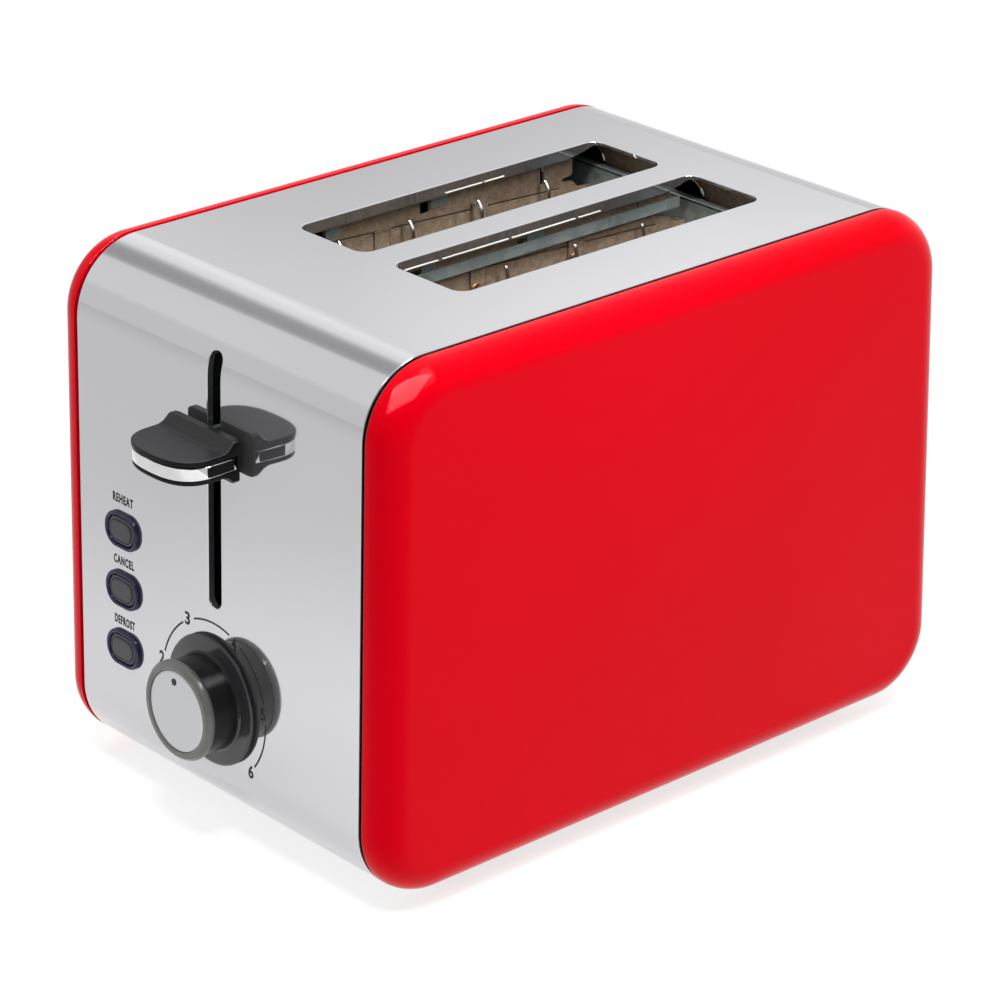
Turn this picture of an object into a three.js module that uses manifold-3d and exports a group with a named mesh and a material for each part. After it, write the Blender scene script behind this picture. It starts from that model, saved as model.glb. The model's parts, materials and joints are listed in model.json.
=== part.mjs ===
// Two-slot pop-up toaster with a wrap-round steel body and domed side panels.
// Millimetres, +Z up. The control face looks towards -Y and the bread slots run along Y.
import * as THREE from 'three';
import { mergeVertices } from 'three/addons/utils/BufferGeometryUtils.js';
import Module from 'manifold-3d';

const wasm = await Module();
wasm.setup();

// ---------------------------------------------------------------- driving dimensions
const BODY_H = 185; // height of the steel wrap
const HALF_LEN_TOP = 125.5; // half length of the body at its top
const DRAFT = 0.026; // the end faces lean out by this much per mm downwards
const CORNER_R = 25.4; // rounding of the four corners in the side view
const WRAP_W = 148; // width of the steel wrap
const SHEET = 0.8; // sheet thickness of the wrap
const LIP_HALF_LEN = 97; // the wrap's bottom lips stop at this distance from the middle
const GAP = 0.3; // clearance between touching pieces
const CORNER_STEPS = 8; // facets per rounded corner
const FOOT_H = 6; // the feet lift the wrap this far off the table

const SEAM_W = 0.9; // visible width of the black seam trim
const SEAM_INSET = 0.9; // the trim sits this far inside the outline
const PANEL_X0 = WRAP_W / 2 + GAP + SEAM_W + GAP;
const PANEL_D = 12.6; // depth of a side panel
const PANEL_EDGE_R = 10.6; // rounding of its edge
const PANEL_CROWN = 1.4; // extra rise of the face towards its middle
const PANEL_WALL = 1.4;

const SLOT_X = 24.5; // centre of each bread slot, left and right
const SLOT_W = 35.2;
const SLOT_Y0 = -57.2;
const SLOT_Y1 = 80.5;
const SLOT_R = 5;
const SLOT_LIP = 4.4; // depth of the folded rim under the top

const LEVER_SLOT_W = 6.8;
const LEVER_SLOT_Z0 = 80;
const LEVER_SLOT_Z1 = 170;
const LEVER_Z = 138; // middle of the handle's bright band
const BAND_H = 4.8;
const SHELL_H = 1.9; // thickness of the handle's upper shell
const LOWER_SHELL_H = 1.1;
const RIDGE_RISE = 3.4; // height of the ridge along the handle's back edge
const HANDLE_HALF_W = 17.5;
const HANDLE_STRAIGHT = 13; // depth of the straight sides
const HANDLE_ROUND = 13.5; // further depth of the rounded front
const HANDLE_BACK = 2.4; // gap between the handle and the steel
const HANDLE_CORE = 1.4; // thickness of the wall behind the band
const STEM_HALF_W = 1;

const KNOB_X = -1;
const KNOB_Z = 46.7;
const KNOB_SKIRT_R = 22.9;
const KNOB_BARREL_R = 16.7;
const KNOB_RING_R = 17.5;
const KNOB_FACE_R = 14.3; // opening of the ring, which holds the bright disc
const KNOB_SHAFT_R = 3;
const KNOB_RING_FROM = 12.3; // where the ring starts, measured from the steel
const KNOB_FRONT = 16;
const KNOB_POINTER_DEG = 96; // direction of the pointer, counted from +X seen from the front
const POINTER_R = 10.4; // distance of the pointer dot from the knob's axis
const DOT_R = 1.25;
const KNOB_SIDES = 40;
const BUTTON_X = -49.8;
const BUTTON_Z = [91.2, 69.4, 47.5];
const BEZEL = [18.1, 12.9]; // width and height of a button's surround
const CAP = [13.8, 9.6]; // width and height of a button
const BUTTON_HOLE = [14.6, 11]; // opening in the steel behind the surround

const BASE_Z0 = SHEET + GAP;
const BASE_Z1 = BASE_Z0 + 2;
const VENT_ROWS = 8;
const VENT_PITCH = 18;
const TRAY_HALF_W = 50;
const TRAY_Z0 = BASE_Z1 + GAP;
const TRAY_Z1 = 11.6;
const TRAY_END_Y = 117.5;
const TRAY_WINDOW_HALF_W = 52;
const TRAY_WINDOW_Z0 = 3;
const TRAY_WINDOW_Z1 = 12.8;
const CORD_X = 50;
const CORD_Z = 30;

const CHAMBER_Y0 = -61.3; // front bulkhead's front face
const CHAMBER_Y1 = 84; // rear bulkhead's front face
const CHAMBER_HALF_W = 65;
const CHAMBER_Z0 = 13.4;
const CHASSIS_X = 66; // inner face of the chassis side plates
const PLATE = 0.8; // thickness of galvanised plates
const RAIL_Z = [172.8, 176.9]; // lower and upper edge of the rails beside the slots
const CARD = 0.8; // thickness of the mica cards
const MICA_Z0 = 20;
const MICA_Z1 = 181;
const MICA_NOTCH_Y = [-44, 3.4, 59.4];
const MICA_NOTCH = 4;
const OUTER_CARD_X = 49; // distance of the outer cards from the middle
const INNER_CARD_X = 1.1; // distance of the inner cards from the middle
const CARD_STEP = [75.5, 166.6]; // the cards' upper rear corner is cut away from this y and z
const ARCH_X = [-54, -3]; // middles of the arched notches in the rear card

const ROD_X = 14;
const ROD_Y = -92;
const ROD_R = 2.5;
const WIRE_R = 0.6; // return spring wire
const SPRING_Z = [15.6, 123];
const GUIDE_R = 0.8; // bread guide wires
const GUIDE_X = 18.2; // distance of the guide wires from the middle of their slot
const GUIDE_Z0 = 26;
const OUTER_GUIDE_TOP = 174.6;
const INNER_GUIDE_TOP = 171.5;

const BOARD_Y = -108; // front face of the circuit board
const BOARD = 1.6; // its thickness

// ---------------------------------------------------------------- materials
const RED = [0xc8101a, 0.22, 0.0];
const STEEL = [0xc9cacc, 0.25, 1.0];
const GALVANISED = [0x9aa3a1, 0.42, 0.9];
const BLACK = [0x161618, 0.5, 0.0];
const CHARCOAL = [0x2c2d30, 0.45, 0.0];
const NAVY = [0x15162b, 0.3, 0.0];
const CHROME = [0xe3e4e6, 0.08, 1.0];
const ALUMINIUM = [0xd0d1d4, 0.3, 1.0];
const MICA = [0x7a6650, 0.7, 0.0];
const NICHROME = [0x8a8076, 0.5, 0.8];
const RUBBER = [0x101010, 0.9, 0.0];
const CIRCUIT = [0x1f5a34, 0.6, 0.0];
const COPPER = [0xa8602c, 0.45, 0.9];

const toaster = new THREE.Group();
toaster.name = 'pop_up_toaster';

function add(name, geometry, [color, roughness, metalness]) {
  const material = new THREE.MeshStandardMaterial({ color, roughness, metalness });
  const mesh = new THREE.Mesh(geometry, material);
  mesh.name = name;
  toaster.add(mesh);
}

// ---------------------------------------------------------------- solid helpers
function solid(geometry) {
  const bare = geometry.clone();
  bare.deleteAttribute('normal');
  bare.deleteAttribute('uv');
  const welded = mergeVertices(bare, 1e-4);
  return new wasm.Manifold(
    new wasm.Mesh({
      numProp: 3,
      vertProperties: Float32Array.from(welded.attributes.position.array),
      triVerts: Uint32Array.from(welded.index.array),
    }),
  );
}

function surface(manifold) {
  const mesh = manifold.getMesh();
  const geometry = new THREE.BufferGeometry();
  geometry.setAttribute('position', new THREE.BufferAttribute(mesh.vertProperties, 3));
  geometry.setIndex(new THREE.BufferAttribute(mesh.triVerts, 1));
  geometry.computeVertexNormals();
  return geometry;
}

function join(...geometries) {
  return surface(geometries.map(solid).reduce((a, b) => a.add(b)));
}

function cut(geometry, ...tools) {
  return surface(tools.map(solid).reduce((a, b) => a.subtract(b), solid(geometry)));
}

function box(x0, x1, y0, y1, z0, z1) {
  const geometry = new THREE.BoxGeometry(x1 - x0, y1 - y0, z1 - z0);
  return geometry.translate((x0 + x1) / 2, (y0 + y1) / 2, (z0 + z1) / 2);
}

function cylinderZ(x, y, z0, z1, r0, r1 = r0, sides = 20) {
  const geometry = new THREE.CylinderGeometry(r1, r0, z1 - z0, sides);
  return geometry.rotateX(Math.PI / 2).translate(x, y, (z0 + z1) / 2);
}

function extrude(outline, depth) {
  const shape = outline instanceof THREE.Shape ? outline : new THREE.Shape(outline);
  return new THREE.ExtrudeGeometry(shape, { depth, bevelEnabled: false, curveSegments: 3 });
}

// outline given as (y, z), swept from x0 to x1
function extrudeX(outline, x0, x1) {
  const basis = new THREE.Matrix4().makeBasis(
    new THREE.Vector3(0, 1, 0),
    new THREE.Vector3(0, 0, 1),
    new THREE.Vector3(1, 0, 0),
  );
  return extrude(outline, x1 - x0).applyMatrix4(basis).translate(x0, 0, 0);
}

// outline given as (x, z), swept from y0 to y1
function extrudeY(outline, y0, y1) {
  return extrude(outline, y1 - y0).rotateX(Math.PI / 2).translate(0, y1, 0);
}

// outline given as (x, y), swept from z0 to z1
function extrudeZ(outline, z0, z1) {
  return extrude(outline, z1 - z0).translate(0, 0, z0);
}

function roundedRect(cx, cy, w, h, r) {
  const [x0, x1, y0, y1] = [cx - w / 2, cx + w / 2, cy - h / 2, cy + h / 2];
  const shape = new THREE.Shape();
  shape.moveTo(x0 + r, y0);
  shape.absarc(x1 - r, y0 + r, r, -Math.PI / 2, 0);
  shape.absarc(x1 - r, y1 - r, r, 0, Math.PI / 2);
  shape.absarc(x0 + r, y1 - r, r, Math.PI / 2, Math.PI);
  shape.absarc(x0 + r, y0 + r, r, Math.PI, 1.5 * Math.PI);
  return shape;
}

function obround(cx, cy, w, h) {
  return roundedRect(cx, cy, w, h, h / 2 - 0.01);
}

function polygon(...pairs) {
  return pairs.map(([a, b]) => new THREE.Vector2(a, b));
}

function mirrorX(geometry) {
  const flipped = geometry.clone().scale(-1, 1, 1);
  const index = flipped.index ? flipped : mergeVertices(flipped, 1e-5);
  const order = index.index.array;
  for (let i = 0; i < order.length; i += 3) {
    [order[i + 1], order[i + 2]] = [order[i + 2], order[i + 1]];
  }
  return index;
}

// ---------------------------------------------------------------- shared outlines
const LEAN = Math.atan(DRAFT);
const LEAN_LEN = Math.hypot(1, DRAFT);

// y of the front face at height z
function frontY(z) {
  return -(HALF_LEN_TOP + DRAFT * (BODY_H - z));
}

// corners of the side view as [y, z of the arc centre, first angle, last angle]
function sideCorners() {
  const top = HALF_LEN_TOP - CORNER_R * LEAN_LEN + DRAFT * CORNER_R;
  const bottom = HALF_LEN_TOP - CORNER_R * LEAN_LEN + DRAFT * (BODY_H - CORNER_R);
  const quarter = Math.PI / 2;
  return [
    [bottom, CORNER_R, -quarter, LEAN],
    [top, BODY_H - CORNER_R, LEAN, quarter],
    [-top, BODY_H - CORNER_R, quarter, Math.PI - LEAN],
    [-bottom, CORNER_R, Math.PI - LEAN, 3 * quarter],
  ];
}

// the side view's outline in (y, z), moved inwards by inset
function sideOutline(inset) {
  const points = [];
  for (const [cy, cz, first, last] of sideCorners()) {
    for (let i = 0; i <= CORNER_STEPS; i += 1) {
      const angle = first + ((last - first) * i) / CORNER_STEPS;
      const r = CORNER_R - inset;
      points.push(new THREE.Vector2(cy + r * Math.cos(angle), cz + r * Math.sin(angle)));
    }
  }
  return points;
}

// closes a stack of equal rings, each a list of Vector3, with a fan at both ends
function loft(rings) {
  const count = rings[0].length;
  const positions = rings.flat().flatMap((p) => [p.x, p.y, p.z]);
  const index = [];
  for (let k = 0; k + 1 < rings.length; k += 1) {
    for (let i = 0; i < count; i += 1) {
      const a = k * count + i;
      const b = k * count + ((i + 1) % count);
      index.push(a, b + count, b, a, a + count, b + count);
    }
  }
  const last = (rings.length - 1) * count;
  for (let i = 1; i + 1 < count; i += 1) {
    index.push(0, i, i + 1);
    index.push(last, last + i + 1, last + i);
  }
  const geometry = new THREE.BufferGeometry();
  geometry.setAttribute('position', new THREE.Float32BufferAttribute(positions, 3));
  geometry.setIndex(index);
  geometry.computeVertexNormals();
  return geometry;
}

// moves a geometry drawn in the front face's own frame (x right, y up, z outwards)
// to the point (x, z) of that face
function onFront(geometry, x, z) {
  const basis = new THREE.Matrix4().makeBasis(
    new THREE.Vector3(1, 0, 0),
    new THREE.Vector3(0, Math.sin(LEAN), Math.cos(LEAN)),
    new THREE.Vector3(0, -Math.cos(LEAN), Math.sin(LEAN)),
  );
  return geometry.applyMatrix4(basis).translate(x, frontY(z), z);
}

// ---------------------------------------------------------------- shell
function outerWrap() {
  const outer = sideOutline(0);
  const inner = sideOutline(SHEET).reverse();
  const ribbon = extrudeX(
    [
      new THREE.Vector2(LIP_HALF_LEN, 0),
      ...outer,
      new THREE.Vector2(-LIP_HALF_LEN, 0),
      new THREE.Vector2(-LIP_HALF_LEN, SHEET),
      ...inner,
      new THREE.Vector2(LIP_HALF_LEN, SHEET),
    ],
    -WRAP_W / 2,
    WRAP_W / 2,
  );
  const slotLen = SLOT_Y1 - SLOT_Y0;
  const slotMid = (SLOT_Y0 + SLOT_Y1) / 2;
  let wrap = solid(ribbon);
  for (const side of [-1, 1]) {
    const rim = roundedRect(
      side * SLOT_X, slotMid, SLOT_W + 2 * SHEET, slotLen + 2 * SHEET, SLOT_R + SHEET,
    );
    const hole = roundedRect(side * SLOT_X, slotMid, SLOT_W, slotLen, SLOT_R);
    wrap = wrap.add(solid(extrudeZ(rim, BODY_H - SLOT_LIP, BODY_H - SHEET / 2)));
    wrap = wrap.subtract(solid(extrudeZ(hole, BODY_H - 10, BODY_H + 5)));
  }
  for (const tool of wrapOpenings()) {
    wrap = wrap.subtract(solid(tool));
  }
  return surface(wrap);
}

function wrapOpenings() {
  const leverSlot = roundedRect(
    0, (LEVER_SLOT_Z0 + LEVER_SLOT_Z1) / 2,
    LEVER_SLOT_W, LEVER_SLOT_Z1 - LEVER_SLOT_Z0, LEVER_SLOT_W / 2 - 0.05,
  );
  const tools = [extrudeY(leverSlot, -140, -110)];
  tools.push(onFront(cylinderZ(0, 0, -8, 8, KNOB_SHAFT_R + 1.2), KNOB_X, KNOB_Z));
  for (const z of BUTTON_Z) {
    tools.push(onFront(extrudeZ(obround(0, 0, ...BUTTON_HOLE), -6, 6), BUTTON_X, z));
  }
  const windowW = TRAY_WINDOW_HALF_W;
  tools.push(box(-windowW, windowW, 100, 140, TRAY_WINDOW_Z0, TRAY_WINDOW_Z1));
  tools.push(extrudeY(obround(CORD_X, CORD_Z, 12, 12), 110, 140));
  return tools;
}

function sidePanel() {
  const ring = (x, outline) => outline.map((p) => new THREE.Vector3(x, p.x, p.y));
  const shrink = (outline, k) =>
    outline.map((p) => new THREE.Vector2(p.x * k, (p.y - BODY_H / 2) * k + BODY_H / 2));
  const flatX = PANEL_X0 + PANEL_D - PANEL_CROWN;
  const rings = [];
  const edge = sideOutline(PANEL_EDGE_R);
  for (const k of [0.35, 0.65, 0.85]) {
    rings.push(ring(flatX + PANEL_CROWN * (1 - k * k), shrink(edge, k)));
  }
  const steps = 5;
  for (let i = steps; i >= 0; i -= 1) {
    const angle = (Math.PI / 2) * (i / steps);
    const inset = PANEL_EDGE_R * (1 - Math.cos(angle));
    rings.push(ring(flatX - PANEL_EDGE_R * (1 - Math.sin(angle)), sideOutline(inset)));
  }
  rings.push(ring(PANEL_X0, sideOutline(0.15)));
  rings.push(ring(PANEL_X0, sideOutline(PANEL_WALL)));
  rings.push(ring(flatX - PANEL_EDGE_R, sideOutline(PANEL_WALL)));
  for (let i = 1; i <= 2; i += 1) {
    const angle = (Math.PI / 2) * (i / 2);
    const inset = PANEL_WALL + (PANEL_EDGE_R - PANEL_WALL) * (1 - Math.cos(angle));
    const x = flatX - PANEL_EDGE_R + (PANEL_EDGE_R - PANEL_WALL) * Math.sin(angle);
    rings.push(ring(x, sideOutline(inset)));
  }
  const middle = 0.35;
  const innerX = flatX - PANEL_WALL + PANEL_CROWN * (1 - middle * middle);
  rings.push(ring(innerX, shrink(edge, middle)));
  return loft(rings);
}

function seamTrim() {
  const frame = new THREE.Shape(sideOutline(SEAM_INSET));
  frame.holes.push(new THREE.Path(sideOutline(SEAM_INSET + 7)));
  return extrudeX(frame, WRAP_W / 2 + GAP, WRAP_W / 2 + GAP + SEAM_W);
}

function chassisSide() {
  const plate = extrudeX(sideOutline(SHEET + 0.5), CHASSIS_X, CHASSIS_X + PLATE);
  return cut(plate, box(0, 100, -150, 150, -1, BASE_Z1 + GAP));
}

// ---------------------------------------------------------------- base, feet, crumb tray
function basePlate() {
  const plate = box(-73, 73, -103, 103, BASE_Z0, BASE_Z1);
  const vents = [];
  for (let row = 0; row < VENT_ROWS; row += 1) {
    const y = (row - (VENT_ROWS - 1) / 2) * VENT_PITCH;
    for (const x of [-62, 62]) {
      vents.push(box(x - 6, x + 6, y - 2, y + 2, 0, 5));
    }
  }
  return cut(plate, ...vents);
}

function foot(x, y) {
  const top = BASE_Z0 - GAP;
  return join(
    cylinderZ(x, y, -FOOT_H, -1.5, 7, 8),
    cylinderZ(x, y, -1.6, top, 8, 8),
  );
}

function crumbTray() {
  const y0 = CHAMBER_Y0 + 3;
  const y1 = TRAY_END_Y;
  const wall = 1;
  const w = TRAY_HALF_W - wall;
  const outer = box(-TRAY_HALF_W, TRAY_HALF_W, y0, y1, TRAY_Z0, TRAY_Z1);
  return cut(outer, box(-w, w, y0 + wall, y1 - wall, TRAY_Z0 + wall, TRAY_Z1 + wall));
}

function trayGrip() {
  const y0 = TRAY_END_Y + GAP;
  const z0 = TRAY_Z0 + GAP;
  const z1 = TRAY_WINDOW_Z1 - 0.5;
  const profile = polygon([y0, z0], [123.6, z0], [127.6, 7.4], [129.4, 11.2], [129.2, z1], [y0, z1]);
  return extrudeX(profile, -TRAY_HALF_W, TRAY_HALF_W);
}

// ---------------------------------------------------------------- oven chamber
function frontBulkhead() {
  const w = CHAMBER_HALF_W;
  const plate = box(-w, w, CHAMBER_Y0, CHAMBER_Y0 + PLATE, CHAMBER_Z0, 183.6);
  const flange = (z) => box(-40, 40, ROD_Y - 10, CHAMBER_Y0 + PLATE / 2, z, z + PLATE);
  const slots = [-1, 1].map((side) =>
    box(side * SLOT_X - 2, side * SLOT_X + 2, -70, -50, 13, 96),
  );
  const rodHoles = cylinderZ(ROD_X, ROD_Y, 0, 190, ROD_R + GAP);
  return cut(join(plate, flange(14), flange(177)), ...slots, rodHoles);
}

// stiffened along its top by a folded edge
function rearBulkhead() {
  const w = CHAMBER_HALF_W;
  const top = 174.2;
  return join(
    box(-w, w, CHAMBER_Y1, CHAMBER_Y1 + PLATE, CHAMBER_Z0, top),
    box(-w, w, CHAMBER_Y1, CHAMBER_Y1 + 3, top - PLATE, top),
  );
}

// upright card behind the rear bulkhead, with arched openings behind the mica cards
function rearCard() {
  const card = box(-62, 62, CHAMBER_Y1 + 6, CHAMBER_Y1 + 6 + CARD, 110, 182);
  const arches = ARCH_X.map((x) =>
    extrudeY(roundedRect(x, 164.8, 15, 28, 6), CHAMBER_Y1, CHAMBER_Y1 + 12),
  );
  return cut(card, ...arches);
}

function micaCard(x) {
  const y0 = CHAMBER_Y0 + PLATE + GAP;
  const card = box(x - CARD / 2, x + CARD / 2, y0, CHAMBER_Y1 - GAP, MICA_Z0, MICA_Z1);
  const [stepY, stepZ] = CARD_STEP;
  const openings = MICA_NOTCH_Y.map((y) =>
    box(x - 2, x + 2, y, y + MICA_NOTCH, 173.2, 173.2 + MICA_NOTCH),
  );
  openings.push(box(x - 2, x + 2, stepY, CHAMBER_Y1, stepZ, MICA_Z1 + 1));
  return cut(card, ...openings);
}

// one flat ribbon that runs to and fro along the card
function heatingElement(x) {
  const rows = 12;
  const pitch = 10;
  const width = 1.6;
  const [y0, y1, z0] = [-50, 74, 34];
  const path = [];
  for (let row = 0; row < rows; row += 1) {
    const ends = row % 2 === 0 ? [y0, y1] : [y1, y0];
    path.push(...ends.map((y) => new THREE.Vector2(y, z0 + row * pitch)));
  }
  return extrudeX(ribbonOutline(path, width), x - 0.3, x + 0.3);
}

// closed outline of a ribbon of the given width along a path with square turns
function ribbonOutline(path, width) {
  const side = (sign) =>
    path.map((point, i) => {
      const offset = new THREE.Vector2();
      for (const [from, to] of [[path[i - 1], point], [point, path[i + 1]]]) {
        if (from && to) {
          const along = to.clone().sub(from).normalize();
          offset.x -= along.y;
          offset.y += along.x;
        }
      }
      return point.clone().addScaledVector(offset, (sign * width) / 2);
    });
  return [...side(-1), ...side(1).reverse()];
}

// wire cage that holds the bread upright, drawn for one side of one slot;
// bend is the X direction towards which the wire tops lean
function breadGuide(x, bend, top) {
  const lean = x + bend * 2;
  const parts = [];
  for (let i = 0; i < 4; i += 1) {
    const y = -36.6 + i * 31.8;
    const path = [[x, y, GUIDE_Z0], [x, y, top - 6], [lean, y, top - 1.5], [lean, y, top]];
    parts.push(uprightWire(path, GUIDE_R));
  }
  for (const z of [GUIDE_Z0 + 1, 150]) {
    parts.push(box(x - GUIDE_R, x + GUIDE_R, -54, 78, z - GUIDE_R, z + GUIDE_R));
  }
  return join(...parts);
}

// six-sided wire through points that climb in Z
function uprightWire(points, r) {
  const rings = points.map(([x, y, z]) => {
    const ring = [];
    for (let i = 0; i < 6; i += 1) {
      const angle = (Math.PI / 3) * (i + 0.5);
      ring.push(new THREE.Vector3(x + r * Math.cos(angle), y + r * Math.sin(angle), z));
    }
    return ring;
  });
  return loft(rings.reverse());
}

// galvanised rail along the inner side of a slot
function chamberRail(side) {
  const [near, far] = [side * 3.6, side * 4.4];
  const y0 = CHAMBER_Y0 + PLATE + GAP;
  return box(Math.min(near, far), Math.max(near, far), y0, 78, ...RAIL_Z);
}

// ---------------------------------------------------------------- carriage and lever
const HANDLE_Y = frontY(LEVER_Z + 1); // the steel's surface behind the handle
const BAND_Z = [LEVER_Z - BAND_H / 2, LEVER_Z + BAND_H / 2];
const SHELL_TOP = BAND_Z[1] + GAP + SHELL_H;
const SHELL_BOTTOM = BAND_Z[0] - GAP - LOWER_SHELL_H;

// plan outline of the handle, shrunk by inset at the front and sides
function handlePlan(inset, back) {
  const w = HANDLE_HALF_W - inset;
  const b = HANDLE_ROUND - inset;
  const power = 2 / 2.6; // squareness of the rounded front
  const points = [new THREE.Vector2(-w, HANDLE_Y - back)];
  const steps = 22;
  for (let i = 0; i <= steps; i += 1) {
    const angle = Math.PI + (Math.PI * i) / steps;
    const c = Math.cos(angle);
    const s = Math.sin(angle);
    const x = w * Math.sign(c) * Math.abs(c) ** power;
    points.push(new THREE.Vector2(x, HANDLE_Y - HANDLE_STRAIGHT - b * Math.abs(s) ** power));
  }
  points.push(new THREE.Vector2(w, HANDLE_Y - back));
  return points;
}

// ridge along the handle's back edge, standing on the height z; rise is negative underneath
function handleRidge(z, rise) {
  const y = HANDLE_Y - HANDLE_BACK;
  const w = HANDLE_HALF_W - 0.1;
  const foot = z - Math.sign(rise) * 0.8;
  const profile = [[y, foot], [y, z + rise], [y - 3, z + rise], [y - 4.4, z + rise / 2], [y - 7.6, z],
    [y - 7.6, foot]];
  return extrudeX(polygon(...(rise > 0 ? profile : profile.reverse())), -w, w);
}

// side view of the tongue inside the handle, grown by margin
function tongueOutline(margin, end) {
  const back = HANDLE_Y - HANDLE_BACK;
  const tip = HANDLE_Y - 16.5 - margin;
  const [low, high, root] = [134.6 - margin, 141.4 + margin, 144 + margin];
  return [[end, root], [back - 4, root], [back - 6, high], [tip, high], [tip, low], [end, low]];
}

function stemPocket() {
  const w = STEM_HALF_W + GAP;
  return extrudeX(polygon(...tongueOutline(GAP, HANDLE_Y)), -w, w);
}

function leverUpper() {
  const plate = extrudeZ(handlePlan(0, HANDLE_BACK), SHELL_TOP - SHELL_H, SHELL_TOP);
  return cut(join(plate, handleRidge(SHELL_TOP, RIDGE_RISE)), stemPocket());
}

// carries the wall behind the band
function leverLower() {
  const y1 = HANDLE_Y - HANDLE_BACK;
  const w = HANDLE_HALF_W - 0.2;
  const top = SHELL_BOTTOM + LOWER_SHELL_H;
  const plate = extrudeZ(handlePlan(0.3, HANDLE_BACK), SHELL_BOTTOM, top);
  const core = box(-w, w, y1 - HANDLE_CORE, y1, top - 0.5, BAND_Z[1]);
  return cut(join(plate, core, handleRidge(SHELL_BOTTOM, -3.2)), stemPocket());
}

function leverTrim() {
  const outer = handlePlan(0.1, HANDLE_BACK + HANDLE_CORE + GAP);
  const inner = handlePlan(3, HANDLE_BACK - 0.5);
  return cut(extrudeZ(outer, ...BAND_Z), extrudeZ(inner, 130, 150));
}

function leverStem() {
  const [root, low] = [-66.6, 129.8];
  const tongue = tongueOutline(0, root);
  const profile = polygon(...tongue.slice(0, -1), [-104, 134.6], [-100, low], [root, low]);
  return extrudeX(profile, -STEM_HALF_W, STEM_HALF_W);
}

function carriageBracket() {
  const back = box(-31, 31, -66.3, -64.7, 128, 148);
  const shelf = box(-28, 22, -100, -64.8, 128, 129.5);
  const leg = box(-17, -15, -97, -93, 120.3, 128.5);
  const sleeve = cylinderZ(ROD_X, ROD_Y, 124, 146, 5.4, 5.4, 24);
  const bore = cylinderZ(ROD_X, ROD_Y, 120, 150, ROD_R + GAP, ROD_R + GAP, 24);
  return cut(join(back, shelf, leg, sleeve), bore);
}

function breadRack(x) {
  const arm = polygon([-64.4, 66], [82, 66], [82, 72], [-62, 72], [-62, 146], [-64.4, 146]);
  const parts = [extrudeX(arm, x - 0.8, x + 0.8)];
  for (let i = 0; i < 8; i += 1) {
    const y = -52 + i * 18;
    parts.push(box(x - 9, x + 9, y - 0.8, y + 0.8, 70.6, 72.4));
  }
  return join(...parts);
}

function returnSpring() {
  const turns = 11;
  const coilR = 4.4;
  const [z0, z1] = SPRING_Z;
  class Helix extends THREE.Curve {
    getPoint(t, target = new THREE.Vector3()) {
      const angle = 2 * Math.PI * turns * t;
      return target.set(
        ROD_X + coilR * Math.cos(angle),
        ROD_Y + coilR * Math.sin(angle),
        z0 + (z1 - z0) * t,
      );
    }
  }
  const section = new THREE.Shape();
  section.absarc(0, 0, WIRE_R, 0, 2 * Math.PI);
  return new THREE.ExtrudeGeometry(section, {
    steps: turns * 10,
    curveSegments: 3,
    bevelEnabled: false,
    extrudePath: new Helix(),
  });
}

// ---------------------------------------------------------------- controls
function onKnob(geometry) {
  return onFront(geometry, KNOB_X, KNOB_Z);
}

function knobBody() {
  const [shaft, skirt, barrel] = [KNOB_SHAFT_R, KNOB_SKIRT_R, KNOB_BARREL_R];
  const front = KNOB_RING_FROM - GAP;
  const profile = polygon(
    [0, -17.6], [shaft, -17.6], [shaft, 0.5], [skirt - 0.5, 0.5], [skirt, 0.9], [skirt, 1.4],
    [skirt - 0.7, 1.9], [barrel + 0.7, 2.4], [barrel, 3.1], [barrel, front], [0, front],
  );
  return onKnob(latheZ(profile, KNOB_SIDES));
}

function latheZ(profile, sides) {
  return new THREE.LatheGeometry(profile, sides).rotateX(Math.PI / 2);
}

function knobBezel() {
  const [outer, inner, from, front] = [KNOB_RING_R, KNOB_FACE_R, KNOB_RING_FROM, KNOB_FRONT];
  const profile = polygon(
    [inner, from], [outer - 0.5, from], [outer, from + 0.5], [outer, front - 2],
    [outer - 0.6, front - 0.7], [outer - 2, front], [inner + 0.3, front], [inner, front - 0.3],
    [inner, from],
  );
  return onKnob(latheZ(profile, KNOB_SIDES));
}

function pointerAt() {
  const angle = THREE.MathUtils.degToRad(KNOB_POINTER_DEG);
  return [POINTER_R * Math.cos(angle), POINTER_R * Math.sin(angle)];
}

function knobDisc() {
  const r = KNOB_FACE_R - GAP;
  const disc = cylinderZ(0, 0, KNOB_RING_FROM, KNOB_FRONT - 0.4, r, r, KNOB_SIDES);
  const socket = cylinderZ(...pointerAt(), KNOB_FRONT - 2.1, 17, DOT_R + GAP, DOT_R + GAP, 16);
  return onKnob(cut(disc, socket));
}

function knobPointer() {
  return onKnob(cylinderZ(...pointerAt(), KNOB_FRONT - 1.8, KNOB_FRONT - 0.3, DOT_R, DOT_R, 16));
}

function buttonBezel(z) {
  const ring = obround(0, 0, ...BEZEL);
  const [w, h] = CAP;
  ring.holes.push(obround(0, 0, w + 3 * GAP, h + 3 * GAP));
  return onFront(extrudeZ(ring, GAP, 1.5), BUTTON_X, z);
}

function buttonCap(z) {
  const cap = extrudeZ(obround(0, 0, ...CAP), -4, 1.3);
  return onFront(join(cap, cylinderZ(0, 0, -12.4, -3.9, 1.5)), BUTTON_X, z);
}

// ---------------------------------------------------------------- electrics
function controlBoard() {
  const shape = new THREE.Shape(
    polygon([-62, 20], [20, 20], [20, 70], [-30, 70], [-30, 102], [-62, 102]),
  );
  return extrudeY(shape, BOARD_Y, BOARD_Y + BOARD);
}

function buttonSwitch(z) {
  return box(BUTTON_X - 4, BUTTON_X + 4, BOARD_Y - 5.6, BOARD_Y - GAP, z - 4, z + 4);
}

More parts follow.
